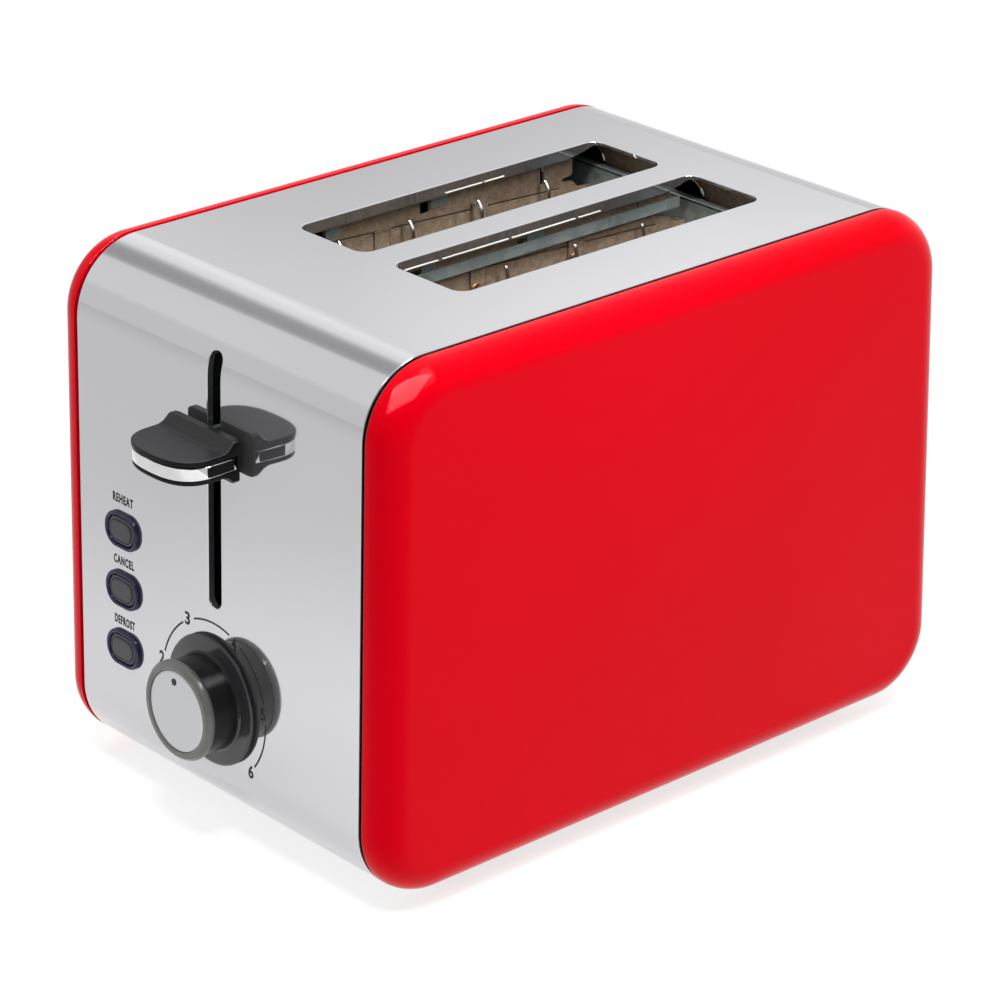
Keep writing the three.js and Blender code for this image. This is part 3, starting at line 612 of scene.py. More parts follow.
LOW_Z, HIGH_Z = CORNER_R, BODY_H - CORNER_R
CORNERS = [
    (corner_y(LOW_Z), LOW_Z, -math.pi / 2, LEAN),
    (corner_y(HIGH_Z), HIGH_Z, LEAN, math.pi / 2),
    (-corner_y(HIGH_Z), HIGH_Z, math.pi / 2, math.pi - LEAN),
    (-corner_y(LOW_Z), LOW_Z, math.pi - LEAN, 1.5 * math.pi),
]


def round_corner(corner, angle, inset=0.0):
    radius = CORNER_R - inset
    return np.array([corner[0] + radius * math.cos(angle), corner[1] + radius * math.sin(angle)])


def side_outline(inset):
    """The side view's outline in (y, z), moved inwards."""
    return np.array([
        round_corner(corner, corner[2] + (corner[3] - corner[2]) * i / CORNER_STEPS, inset)
        for corner in CORNERS for i in range(CORNER_STEPS + 1)
    ])


def wrap_segments():
    """The wrap's path from its rear lip over the top to its front lip, in (y, z)."""
    segments, at = [], np.array([LIP_HALF_LEN, 0.0])
    for corner in CORNERS:
        _, _, first, last = corner
        start = round_corner(corner, first)
        segments.append(("line", at, start, np.linalg.norm(start - at)))
        segments.append(("arc", corner, first, CORNER_R * (last - first)))
        at = round_corner(corner, last)
    end = np.array([-LIP_HALF_LEN, 0.0])
    segments.append(("line", at, end, np.linalg.norm(end - at)))
    return segments


SEGMENTS = wrap_segments()
STARTS = np.concatenate([[0], np.cumsum([s[3] for s in SEGMENTS])])
WRAP_LEN = STARTS[-1]
REAR_LOW_BEND, REAR, REAR_BEND, TOP, FRONT_BEND, FRONT, FRONT_LOW_BEND = range(1, 8)
BENDS = (REAR_LOW_BEND, REAR_BEND, FRONT_BEND, FRONT_LOW_BEND)


def wrap_place(u, s):
    k = int(np.clip(np.searchsorted(STARTS, s, "right") - 1, 0, len(SEGMENTS) - 1))
    kind, first, second, length = SEGMENTS[k]
    t = s - STARTS[k]
    if kind == "line":
        along = (second - first) / length
        y, z = first + along * t
        normal = (along[1], -along[0])
    else:
        angle = second + t / CORNER_R
        normal = (math.cos(angle), math.sin(angle))
        y, z = round_corner(first, angle)
        along = (-normal[1], normal[0])
    return np.array([u, y, z]), np.array([1.0, 0, 0]), np.array([0, *along]), np.array([0, *normal])


def s_at(segment, y=None, z=None):
    """Distance along the wrap of the point of that segment at y or at height z."""
    kind, first, second, length = SEGMENTS[segment]
    if kind == "arc":
        angle = math.asin((z - first[1]) / CORNER_R)
        angle = angle if segment < TOP else math.pi - angle
        return STARTS[segment] + (angle - second) * CORNER_R
    a, b, at = (first[0], second[0], y) if z is None else (first[1], second[1], z)
    return STARTS[segment] + length * (at - a) / (b - a)


SLOT_S = (s_at(TOP, y=SLOT_Y[1]), s_at(TOP, y=SLOT_Y[0]))
LEVER_SLOT_S = (s_at(FRONT_BEND, z=LEVER_SLOT_Z[1]), s_at(FRONT, z=LEVER_SLOT_Z[0]))


def rim_share(point):
    """The slots' fold is shallow at the rear end, close in front of the back card."""
    return 0.08 + 0.92 * min(1, max(0, (point[1] - SLOT_S[0] - 1.5) / 6))


def wrap_holes():
    """Every opening of the wrap, in its flat frame."""
    folded, round_hole = [], []
    for x, width, (s0, s1), radius, steps, longest in (
        (-SLOT_X, SLOT_W, SLOT_S, SLOT_R, 10, 8), (SLOT_X, SLOT_W, SLOT_S, SLOT_R, 10, 8),
        (0, LEVER_SLOT_W, LEVER_SLOT_S, LEVER_SLOT_W / 2 - 0.02, 12, 1.6),
    ):
        shape = rounded_rect(x, (s0 + s1) / 2, width, s1 - s0, radius, steps)
        folded.append(divide(shape, longest))
    for x, s, w, h, steps in (
        (KNOB_X, s_at(FRONT, z=KNOB_Z), KNOB_HOLE, KNOB_HOLE, 8),
        *((BUTTON_X, s_at(FRONT, z=z), *BUTTON_HOLE, 10) for z in BUTTONS.values()),
        (CORD_X, s_at(REAR, z=CORD_Z), CORD_HOLE, CORD_HOLE, 8),
    ):
        round_hole.append(rounded_rect(x, s, w, h, h / 2 - 0.01, steps))
    low, high = (s_at(REAR_LOW_BEND, z=z) for z in TRAY_WINDOW_Z)
    bend = np.linspace(STARTS[REAR_LOW_BEND], STARTS[REAR], CORNER_STEPS + 1)
    window = [(TRAY_WINDOW_HALF_W, s) for s in (low, *bend[(bend > low) & (bend < high)], high)]
    window += [(-x, s) for x, s in reversed(window)]
    holes = [(shape, folded_rim(SLOT_FOLD), rim_share) for shape in folded[:2]]
    holes.append((folded[2], folded_rim(LEVER_SLOT_FOLD)))
    holes += [(shape, cut_rim(0.2)) for shape in [*round_hole, np.array(window)]]
    return holes, (low, high)


def steel_wrap():
    """The sheet with a line across it at every step of a bend, and points on its flats."""
    ease = 0.3
    half = WRAP_W / 2 - ease
    fine = 9.0  # half-width of the strip round the lever's slot, which has points instead of lines
    gap = 1.9
    holes, (low, high) = wrap_holes()
    marks, lines, points = [], [], []
    for bend in BENDS:
        for s in np.linspace(STARTS[bend], STARTS[bend + 1], CORNER_STEPS + 1):
            marks.append(s)
            reach = 0
            if bend == FRONT_BEND:
                reach = fine
                points += [
                    (x, s) for x in np.linspace(-fine + 1.8, fine - 1.8, 9)
                    if s < LEVER_SLOT_S[0] - gap or abs(x) > LEVER_SLOT_W / 2 + gap
                ]
            elif low - 0.2 <= s <= high + 0.2:
                reach = TRAY_WINDOW_HALF_W + 0.2
            if reach:
                lines += [((-half, s), (-reach, s)), ((reach, s), (half, s))]
            else:
                lines.append(((-half, s), (half, s)))
    for flat in (TOP, FRONT, REAR):
        for s in np.arange(STARTS[flat] + 6, STARTS[flat + 1] - 4, 9.0):
            points += [(x, s) for x in np.arange(-66, 67, 12.0)]
    shapes = [divide(hole[0], 2) for hole in holes]
    clear = [
        p for p in points
        if min(np.linalg.norm(shape - p, axis=1).min() for shape in shapes) > 2.0
        and not any(inside(np.array([p]), shape)[0] for shape in shapes)
    ]
    stops = [ease, *marks, WRAP_LEN - ease]
    outline = np.array([(half, s) for s in stops] + [(-half, s) for s in reversed(stops)])
    return sheet(wrap_place, outline, holes, SHEET, ease, clear, lines)


piece("steel_wrap", steel_wrap(), STEEL, "housing", ["outer_wrap"])


# ---- side panels and seams
def ring_at(x, outline):
    """An outline in (y, z) stood up at x."""
    return np.column_stack([np.full(len(outline), float(x)), outline])


def level(outline, z):
    """An outline in (x, y) laid at height z."""
    return np.column_stack([outline, np.full(len(outline), float(z))])


def shrink(outline, k):
    centre = np.array([0.0, BODY_H / 2])
    return (outline - centre) * k + centre


def mirrored(mesh_data, side):
    verts, faces = mesh_data
    return verts * (side, 1, 1), faces


def side_panel():
    flat_x = PANEL_X0 + PANEL_D - PANEL_CROWN
    edge_x = flat_x - PANEL_EDGE_R
    inner_r = PANEL_EDGE_R - PANEL_WALL
    edge = side_outline(PANEL_EDGE_R)
    rings = []
    for k in (0.08, 0.3, 0.5, 0.66, 0.78, 0.87, 0.93, 0.97, 0.99):
        rings.append(ring_at(flat_x + PANEL_CROWN * (1 - k * k) ** 1.5, shrink(edge, k)))
    for a in np.linspace(TURN / 4, 0, 15):
        outline = side_outline(PANEL_EDGE_R * (1 - math.cos(a)))
        rings.append(ring_at(edge_x + PANEL_EDGE_R * math.sin(a), outline))
    for x, inset in (
        (PANEL_X0 + 0.25, 0.02), (PANEL_X0, 0.3), (PANEL_X0, PANEL_WALL), (edge_x, PANEL_WALL),
    ):
        rings.append(ring_at(x, side_outline(inset)))
    for a in np.linspace(0, TURN / 4, 5)[1:]:
        outline = side_outline(PANEL_WALL + inner_r * (1 - math.cos(a)))
        rings.append(ring_at(edge_x + inner_r * math.sin(a), outline))
    rings.append(ring_at(flat_x - PANEL_WALL + PANEL_CROWN, shrink(edge, 0.3)))
    return loft(rings)


def seam_trim():
    x0, x1, b = SEAM_X, SEAM_X + SEAM_W, 0.15
    wide = SEAM_INSET + 7
    section = [
        (x0, SEAM_INSET + b), (x0 + b, SEAM_INSET), (x1 - b, SEAM_INSET), (x1, SEAM_INSET + b),
        (x1, wide - b), (x1 - b, wide), (x0 + b, wide), (x0, wide - b),
    ]
    return loft([ring_at(x, side_outline(inset)) for x, inset in section], loop=True)


for label, sign in (("right", 1), ("left", -1)):
    piece(f"panel_{label}", mirrored(side_panel(), sign), ENAMEL, "housing",
          [f"side_panel_{label}"])
    piece(f"seam_{label}", mirrored(seam_trim(), sign), SEAM_BLACK, "housing",
          [f"seam_trim_{label}"])


# ---- lever handle
def distance_to(points, outline):
    """How far each point is from the nearest side of the outline."""
    best = np.full(len(points), 1e9)
    for a, b in zip(outline, np.roll(outline, -1, 0)):
        d = b - a
        t = np.clip(((points - a) @ d) / (d @ d), 0, 1)
        best = np.minimum(best, np.linalg.norm(points - (a + t[:, None] * d), axis=1))
    return best


def pillow(outline, low, high):
    """A body over an outline in (x, y). low and high give its heights at (points, inset)."""
    flat, edges = [], []
    for inset in EDGE_STEPS:
        ring = offset(outline, inset)
        edges += closed(len(flat), len(ring))
        flat += ring.tolist()
    grid = np.array([(x, y) for x in PLAN_COLUMNS for y in PLAN_ROWS])
    grid = grid[inside(grid, ring)]
    flat += grid[distance_to(grid, ring) > 0.12].tolist()
    found, triangles, _ = triangulate(flat, edges)
    triangles = triangles[inside(found[triangles].mean(1), outline)].tolist()
    deep = distance_to(found, outline)
    deep[deep < 1e-6] = 0
    n, count = len(found), len(outline)
    verts = np.vstack([np.column_stack([found, side(found, deep)]) for side in (high, low)])
    faces = [tuple(t) for t in triangles] + [(c + n, b + n, a + n) for a, b, c in triangles]
    faces += [(i, i + n, j + n, j) for i, j in closed(0, count)]
    return verts, faces


HANDLE_Y = front_y(LEVER_Z + 1)
HANDLE_BACK = 2.4
HANDLE_CORE = 1.4
HANDLE_HALF_W = 17.5
HANDLE_STRAIGHT = 13.0
HANDLE_ROUND = 13.5
CREST_DEPTH = 5.2
CREST_FALL = 4.8
SHELL_TOP = 142.6
TOP_SHELL_LOW = 140.75
UNDER_SHELL = (134.2, 135.3)
CORE_Z = (134.9, 140.9)
BAND_Z = (135.9, 140.3)
EDGE_STEPS = (0, 0.04, 0.12, 0.24, 0.4, 0.6)
PLAN_COLUMNS = np.concatenate(
    [[-17.1, -16.7, -16.2, -15.6], np.linspace(-14.8, 14.8, 22), [15.6, 16.2, 16.7, 17.1]]
)
PLAN_ROWS = HANDLE_Y - np.concatenate(
    [[3.2, 4.0, 4.7, 5.1, 5.3, 5.6], np.arange(6.0, 10.2, 0.45), np.arange(11, 26, 1.5)]
)


def handle_plan(inset=0.0, back=0.0):
    """Plan of the handle: flat back with small corners, and a squarish rounded front."""
    half, corner, power = HANDLE_HALF_W - inset, 0.9, 2 / 2.6
    points = []
    for a in np.linspace(math.pi, TURN, 49):
        c, s = math.cos(a), math.sin(a)
        deep = HANDLE_STRAIGHT + (HANDLE_ROUND - inset) * abs(s) ** power
        points.append((half * math.copysign(abs(c) ** power, c), HANDLE_Y - deep))
    y = HANDLE_Y - HANDLE_BACK - inset - back - corner
    for side, first in ((1, 0), (-1, TURN / 4)):
        for a in np.linspace(first, first + TURN / 4, 5):
            points.append((side * (half - corner) + corner * math.cos(a), y + corner * math.sin(a)))
    return divide(np.array(points), 2.0)


def ease_down(deep, radius):
    """How far an edge rounded to that radius has dropped at that distance from the edge."""
    d = np.clip(deep, 0, radius)
    return radius - np.sqrt(radius**2 - (radius - d) ** 2)


def ridge_rise(points, height):
    """Crisp crest along the back edge, falling in a hollow curve to the flat."""
    depth = HANDLE_Y - points[:, 1]
    t = np.clip((depth - CREST_DEPTH) / CREST_FALL, 0, 1)
    end = np.clip((np.abs(points[:, 0]) - 15.2) / 2.3, 0, 1)
    return height * (1 - t) ** 2.1 * (1 - 0.45 * end**2.5)


def lever_upper():
    return pillow(
        handle_plan(),
        lambda p, deep: TOP_SHELL_LOW + ease_down(deep, 0.2),
        lambda p, deep: SHELL_TOP + ridge_rise(p, 3.5) - ease_down(deep, 0.5),
    )


def lever_lower():
    """The under shell, with the wall that closes the handle behind the band."""
    low, high = UNDER_SHELL
    shell = pillow(
        handle_plan(0.25),
        lambda p, deep: low - ridge_rise(p, 3.2) + ease_down(deep, 0.5),
        lambda p, deep: high - ease_down(deep, 0.2),
    )
    middle = HANDLE_Y - HANDLE_BACK - HANDLE_CORE / 2
    plan = rounded_rect(0, middle, 34.7, HANDLE_CORE, 0.5, 4)
    return together(shell, loft([level(plan, z) for z in CORE_Z]))


def lever_trim():
    """Bright band between the two shells, open at the back."""
    low, high = BAND_Z
    section = [
        (2.6, low), (0.5, low), (0.26, low + 0.08), (0.16, low + 0.3), (0.16, high - 0.3),
        (0.26, high - 0.08), (0.5, high), (2.6, high),
    ]
    rings = [level(handle_plan(inset, HANDLE_CORE + 0.1 - inset), z) for inset, z in section]
    return loft(rings, loop=True)


def painted_band_reflection():
    """Dark strips on the straight sides of the band, a painted dark reflection, which leave a thin
    bright frame.
    """
    low, high = BAND_Z[0] + 0.4, BAND_Z[1] - 0.4
    near, far = HANDLE_BACK + HANDLE_CORE + 0.5, 16
    parts = []
    for side in (-1, 1):
        straight = [
            (x, y) for x, y in handle_plan(0.1) if x * side > 14 and near < HANDLE_Y - y < far
        ]
        rings = []
        for x, y in sorted(straight, key=lambda p: -p[1]):
            x1 = x - side * 0.5
            rings.append([(x, y, low), (x, y, high), (x1, y, high), (x1, y, low)])
        parts.append(loft(rings))
    return together(*parts)


for name, shape, node in (
    ("lever_top_shell", lever_upper(), "lever_upper"),
    ("lever_under_shell", lever_lower(), "lever_lower"),
):
    shell = piece(name, shape, CHARCOAL, "carriage", [node])
    # the shells' upright walls get a deeper black than their tops: painted shade
    second_material(shell, PAINTED_SHADE_AND_REFLECTION, lambda normal: abs(normal.z) < 0.55)
piece("lever_band", lever_trim(), CHROME, "carriage", ["lever_trim"])
# dark strips on the band's straight sides: painted dark reflection
piece("lever_inlays", painted_band_reflection(), PAINTED_SHADE_AND_REFLECTION, "carriage", ())


def lever_stem():
    """Steel tongue that passes through the slot and into the handle."""
    tip, back = HANDLE_Y - 16.5, HANDLE_Y - HANDLE_BACK
    side = rounded_profile(
        [
            (-66.6, 134, 0), (-66.6, 129.8, 0.4), (-100, 129.8, 2), (-104, 134.6, 2),
            (tip, 134.6, 0.5), (tip, 141.4, 0.5), (back - 6, 141.4, 0), (back - 4, 144, 0.5),
            (-66.6, 144, 0.4), (-66.6, 134, 0),
        ]
    )[:-1]
    section = ((-1, 0.25), (-0.8, 0), (0.8, 0), (1, 0.25))
    return loft([ring_at(x, offset(side, inset)) for x, inset in section])


piece("lever_tongue", lever_stem(), GALVANISED, "carriage", ["lever_stem"])


# ---- browning knob
def front_piece(name, parts, x, z, material, body, replaces, weighted=True):
    verts, faces = parts
    return piece(name, (on_front(verts, x, z), faces), material, body, replaces, weighted)


def knob_piece(name, parts, material, replaces, weighted=False):
    return front_piece(name, parts, KNOB_X, KNOB_Z, material, "knob", [replaces], weighted)


KNOB_BODY = rounded_profile(
    [
        (0, -17.6, 0), (3, -17.6, 0.4), (3, 0.5, 0), (22.4, 0.5, 0.3), (22.9, 0.95, 0.25),
        (22.9, 1.5, 0.3), (22.1, 1.95, 0.35), (17.5, 2.4, 0.3), (16.7, 3.0, 0.5),
        (16.7, 12.15, 0.3), (16.2, 12.15, 0), (0, 12.15, 0),
    ]
)
KNOB_RING = rounded_profile(
    [
        (14.2, 12.4, 0), (16.9, 12.4, 0.3), (17.5, 13.5, 0.5), (17.4, 14.5, 0.8),
        (16.3, 15.9, 1.0), (14.7, 15.95, 0.3), (14.2, 15.65, 0.15), (14.2, 12.4, 0),
    ]
)[:-1]
KNOB_DISC = rounded_profile(
    [(0, 12.4, 0), (14.1, 12.4, 0.1), (14.1, 15.5, 0.25), (13.4, 15.6, 2.0), (0, 15.8, 0)]
)
DOT = rounded_profile([(0, 14.6, 0), (1.25, 14.6, 0), (1.25, 15.82, 0.12), (0, 15.84, 0)])
POINTER_ANGLE = math.radians(96)
POINTER_R = 10.4
barrel = knob_piece("knob_barrel", lathe(KNOB_BODY, 128), GLOSS_BLACK, "knob_body")
# the barrel's forward-facing faces get a lighter, glossier black: painted sheen
second_material(barrel, PAINTED_SHEEN_BLACK, lambda normal: normal.y < -0.8)
knob_piece("knob_ring", lathe(KNOB_RING, 128, loop=True), RING_GREY, "knob_bezel")
knob_piece("knob_face", lathe(KNOB_DISC, 128), DISC, "knob_disc")
dot_verts, dot_faces = lathe(DOT, 32)
pointer = np.array([math.cos(POINTER_ANGLE), math.sin(POINTER_ANGLE), 0]) * POINTER_R
knob_piece("knob_dot", (dot_verts + pointer, dot_faces), CHARCOAL, "knob_pointer",
           True)


# ---- buttons
def oval(w, h):
    return rounded_rect(0, 0, w, h, h / 2 - 0.3, 12)


def button_bezel():
    outer, inner = oval(18.1, 12.9), oval(14.6, 10.4)
    section = [
        (0.0, 0.3), (0.0, 0.7), (0.06, 1.05), (0.18, 1.32), (0.36, 1.48), (0.58, 1.5),
        (0.78, 1.38), (0.93, 1.12), (1.0, 0.85), (1.0, 0.3),
    ]
    return loft([level(outer * (1 - t) + inner * t, out) for t, out in section], loop=True)


def button_cap():
    base = oval(13.8, 9.6)
    section = (
        (0.3, -4.0), (0, -3.8), (0, 0.75), (0.05, 0.9), (0.18, 1.02), (0.4, 1.08), (0.85, 1.08),
        (0.98, 1.0), (1.04, 0.7), (1.2, 0.7), (1.26, 1.1), (1.4, 1.24), (1.7, 1.3), (2.2, 1.3),
    )
    stem = rounded_profile([(0, -12.4, 0), (1.5, -12.4, 0.3), (1.5, -3.9, 0), (0, -3.9, 0)])
    return together(loft([level(offset(base, inset), out) for inset, out in section]),
                    lathe(stem, 24))


for label, z in BUTTONS.items():
    front_piece(f"bezel_{label}", button_bezel(), BUTTON_X, z, NAVY, "housing",
                [f"button_bezel_{label}"])
    front_piece(f"cap_{label}", button_cap(), BUTTON_X, z, CAP_GREY, f"{label}_button",
                [f"button_{label}"])


# ---- print on the front
PRINT_LOW, PRINT_HIGH = 0.015, 0.05
LABEL_SIZE = (11.2, 3.3)
NUMBER_SIZE = (2.7, 4.8)
ONE_W = 1.3
ARC_R = 27.6
ARC_W = 0.68


def print_piece(name, parts, x, z):
    return front_piece(name, parts, x, z, PRINT, "housing", (), False)


def printed(name, text, x, z, width, height):
    """Text in a plain font, stretched to that size."""
    curve = bpy.data.curves.new(name, "FONT")
    curve.body = text
    curve.align_x = curve.align_y = "CENTER"
    curve.size = height
    curve.offset = height * (0.028 if len(text) == 1 else 0.04)
    curve.space_character = 1.2
    curve.resolution_u = 4
    curve.extrude = (PRINT_HIGH - PRINT_LOW) / 2
    holder = bpy.data.objects.new(name + "_curve", curve)
    bpy.context.scene.collection.objects.link(holder)
    bpy.context.view_layer.update()
    mesh = bpy.data.meshes.new_from_object(
        holder.evaluated_get(bpy.context.evaluated_depsgraph_get())
    )
    bpy.data.objects.remove(holder)
    bpy.data.curves.remove(curve)
    verts = np.array([tuple(v.co) for v in mesh.vertices])
    faces = [tuple(p.vertices) for p in mesh.polygons]
    bpy.data.meshes.remove(mesh)
    low, high = verts.min(0), verts.max(0)
    verts = (verts - (low + high) / 2) * (width / (high - low)[0], height / (high - low)[1], 1)
    verts[:, 2] += (PRINT_HIGH + PRINT_LOW) / 2
    mend(print_piece(name, (verts, faces), x, z).data, 1e-7)


def dial_arc(first, last):
    rings = []
    for a in np.linspace(first, last, max(2, abs(last - first) // 2) + 1):
        c, s = math.cos(math.radians(a)), math.sin(math.radians(a))
        r0, r1 = ARC_R - ARC_W / 2, ARC_R + ARC_W / 2
        corners = ((r0, PRINT_LOW), (r1, PRINT_LOW), (r1, PRINT_HIGH), (r0, PRINT_HIGH))
        rings.append([(r * c, r * s, out) for r, out in corners])
    return loft(rings)


for label, z in (("reheat", 102.4), ("cancel", 79.7), ("defrost", 57.4)):
    printed(f"label_{label}", label.upper(), BUTTON_X, z, *LABEL_SIZE)
NUMBERS = {
    "1": (-20.0, 27.0), "2": (-29.2, 51.8), "3": (-14.9, 71.2), "4": (9.9, 70.6),
    "5": (25.4, 50.6), "6": (18.8, 27.2),
}
for text, (x, z) in NUMBERS.items():
    printed(f"dial_{text}", text, x, z, ONE_W if text == "1" else NUMBER_SIZE[0], NUMBER_SIZE[1])
DIAL_ARCS = [(231, 176), (163, 126), (112, 72), (59, 16), (1, -38)]
print_piece("dial_arcs", together(*[dial_arc(*ends) for ends in DIAL_ARCS]), KNOB_X, KNOB_Z)


# ---- oven chamber
def plane(axis, at, facing):
    """Places (u, v), in the order of the other two axes, on the plane across that axis."""
    axes = np.eye(3)
    along = [k for k in range(3) if k != axis]

    def place(u, v):
        point = axes[along].T @ (u, v) + axes[axis] * at
        return point, axes[along[0]], axes[along[1]], axes[axis] * facing

    return place


def rect(x0, x1, y0, y1, r=1.0, steps=3):
    return rounded_rect((x0 + x1) / 2, (y0 + y1) / 2, x1 - x0, y1 - y0, r, steps)


def bar(x, reach, y0, y1, z0, z1, ease=0.15):
    """A straight bar with eased edges, from x as far as reach to either side."""
    x0, x1 = sorted((x, x + reach))
    rings = []
    for y, inset in ((y0, ease), (y0 + ease, 0), (y1 - ease, 0), (y1, ease)):
        outline = rect(x0 + inset, x1 - inset, z0 + inset, z1 - inset, ease, 2)
        rings.append([(px, y, pz) for px, pz in outline])
    return loft(rings)


MICA_Y = (-60.2, 83.7)
MICA_Z = (20, 181)
CARD_FACE = SHEET / 2
CARD_STEP_Y = 75.5
CARD_TOP_REAR = [
    (MICA_Y[1], 165.9), (78.6, 166.1), (77.2, 167.2), (76.0, 168.6), (74.4, 169.2), (71.2, 169.5),
    (70.3, 170.2), (71.0, 171.0), (CARD_STEP_Y - 0.8, 171.4), (CARD_STEP_Y, 172.2),
    (CARD_STEP_Y, MICA_Z[1] - 0.8), (CARD_STEP_Y - 0.8, MICA_Z[1]),
]
CARD_SLIT = [(-36.0, 172.2), (69.0, 167.2), (69.2, 167.5), (69.0, 167.8), (-36.0, 172.8)]
STRAP_Y = (-14.2, 30.6)
TAB_Z = (174.3, 178.6)
LOOP_Y = (-16.2, 29.0)


def mica_card(x, facing):
    """Board with a stepped upper rear corner, notches and a slanting slit."""
    (y0, y1), (z0, z1) = MICA_Y, MICA_Z
    outline = [(y0, z0 + 1), (y0 + 1, z0), (y1 - 1, z0), (y1, z0 + 1)] + CARD_TOP_REAR
    outline += [(y0 + 1, z1), (y0, z1 - 1)]
    cuts = [rect(y, y + 4, 173.2, 177.4, 0.6) for y in (-44, 3.4)]
    cuts += [rect(59.9, 61.6, 171.2, 176.0, 0.5), np.array(CARD_SLIT)]
    holes = [(divide(cut, 4), cut_rim(0.12)) for cut in cuts]
    return sheet(plane(0, x + facing * CARD_FACE, facing), divide(np.array(outline), 8), holes,
                 SHEET, 0.12)


def mica_straps(x, facing):
    """Upright plates, with raised edges, that hold the heating ribbon off the board."""
    parts = []
    x += facing * (CARD_FACE + 0.2)
    for y in STRAP_Y:
        parts.append(bar(x, facing * 0.4, y - 3.5, y + 3.5, 24, 171.4, 0.1))
        for dy in (-3.4, 3.4):
            parts.append(bar(x, facing * 0.8, y + dy - 0.3, y + dy + 0.3, 24, 171.9, 0.1))
        parts.append(bar(x, facing * 0.8, y - 3.4, y + 3.4, 171.3, 171.9, 0.1))
    return together(*parts)


def card_tabs(x, facing):
    """Folded zinc tabs beside the notches."""
    low, high = TAB_Z
    return together(*[
        bar(x + facing * 0.5, facing * 0.6, *ends, 0.2)
        for ends in ((7.8, 15.8, low, high), (60.0, 61.4, 176.0, 178.4), (-39.8, -33, low, high))
    ])


def ribbon_ends(x, facing):
    """Looped ends of the heating ribbon showing over the straps."""
    return together(*[
        tube([
            (x + facing * 1.9, y - 1.6 + 3.2 * t, 166.0 + 0.9 * math.sin(t * math.pi))
            for t in np.linspace(0, 1, 14)
        ], 0.42, 8)
        for y in LOOP_Y
    ])


def bread_guide(x, lean, top):
    """Wire cage beside a slot; its tops lean in X by lean."""
    parts = []
    bend = top - 5.2
    for y in -36.6 + 31.8 * np.arange(4):
        path = [(x, y, z) for z in np.linspace(26, bend, 12)]
        for t in np.linspace(0.12, 1, 8):
            share = (1 - math.cos(t * 1.2)) / (1 - math.cos(1.2))
            path.append((x + lean * share, y, bend + 4.4 * t))
        parts.append(tube(path, 0.8))
    for z in (27, 150):
        parts.append(tube([(x, y, z) for y in np.linspace(-54, 78, 12)], 0.8, 10))
    return together(*parts)


CARDS = {
    "left_outer": (-49.0, 1), "left_inner": (-1.1, -1),
    "right_inner": (1.1, 1), "right_outer": (49.0, -1),
}
GUIDES = {
    "left_outer": (-42.7, -2.2, 174.6), "left_inner": (-6.3, 0.9, 171.5),
    "right_inner": (6.3, -0.9, 171.5), "right_outer": (42.7, 2.2, 174.6),
}
for label, card in CARDS.items():
    piece(f"card_{label}", mica_card(*card), MICA, "housing", [f"mica_card_{label}"])
    piece(f"strap_{label}", mica_straps(*card), MICA, "housing", ())
    piece(f"tab_{label}", card_tabs(*card), CHAMBER_ZINC, "housing", ())
piece("ribbon_loops", ribbon_ends(*CARDS["right_inner"]), COPPER, "housing", ())
for label, guide in GUIDES.items():
    piece(f"wires_{label}", bread_guide(*guide), BRIGHT_WIRE, f"guide_{label}",
          [f"bread_guide_{label}"], weighted=False)
for label, x in (("left", -4.4), ("right", 3.6)):
    piece(f"rail_{label}", bar(x, 0.8, -60.2, 78, 172.8, 176.9, 0.2), CHAMBER_ZINC,
          "housing", [f"chamber_rail_{label}"])

# bright strips along the folded rims' lower edge, on the side seen from the right, standing in for
# glints of light: painted highlights. x, then y spans
GLINT_SPANS = (
    (6.9, [(-51, -36.4), (-34.6, -5.0), (-3.6, 25.6), (27, 37.4)]),
    (-42.1, [(9.3, 26.5), (27.4, 36.8)]),
)
glint_strips = [bar(x + 0.02, 0.28, *span, 181.25, 181.7, 0.12) for x, spans in GLINT_SPANS for span in spans]
piece("rim_beads", together(*glint_strips), PAINTED_GLINT, "housing", ())


def rear_plate():
    """End plate of the chamber with its folded top edge."""
    half = 65
    body = sheet(plane(1, CHAMBER_Y[1], -1), rect(-half, half, 13.4, 173.6, 1.5), [], SHEET)[:2]
    fold = rounded_profile(
        [(84.0, 173.0, 0), (84.0, 174.2, 0.7), (87.0, 174.2, 0.3), (87.0, 173.4, 0)], 4
    )
    ring = np.vstack([fold, [(86.9, 173.35), (84.85, 173.35), (84.8, 173.0)]])
    return together(body, loft([ring_at(x, ring) for x in (-half, 0.2 - half, half - 0.2, half)]))


piece("end_plate", rear_plate(), CHAMBER_ZINC, "housing", ["rear_bulkhead"])

ARCH_X = (-54, -3)
ARCH_Z = 164.8
ARCH_SIZE = (15, 28)


def rear_card():
    arches = [(rounded_rect(x, ARCH_Z, *ARCH_SIZE, 6), cut_rim(0.12)) for x in ARCH_X]
    return sheet(plane(1, 90, -1), rect(-62, 62, 110, 182, 1.5), arches, SHEET, 0.12)


def arch_edging():
    """Folded metal edge round each arch."""
    width, height = ARCH_SIZE
    parts = []
    for x in ARCH_X:
        shape = rounded_rect(x, ARCH_Z, width + 0.6, height + 0.6, 6.3)
        path = [(px, 89.4, pz) for px, pz in shape if pz > 158]
        path.sort(key=lambda p: math.atan2(p[2] - ARCH_Z, p[0] - x))
        parts.append(tube(path, 0.65, 8))
    return together(*parts)


piece("back_card", rear_card(), MICA, "housing", ["rear_card"])
piece("arch_edges", arch_edging(), BRIGHT_WIRE, "housing", ())


# ---- base, feet, tray, cord grommet
def base_plate():
    vents = [
        (rounded_rect(x, y, 12, 4, 1.99, 5), cut_rim(0.3, 2))
        for y in range(-63, 64, 18) for x in (-62, 62)
    ]
    return sheet(plane(2, 3.1, 1), rect(-73, 73, -103, 103, 4, 6), vents, 2, 0.4)


piece("underside", base_plate(), BASE_BLACK, "housing", ["base_plate"])

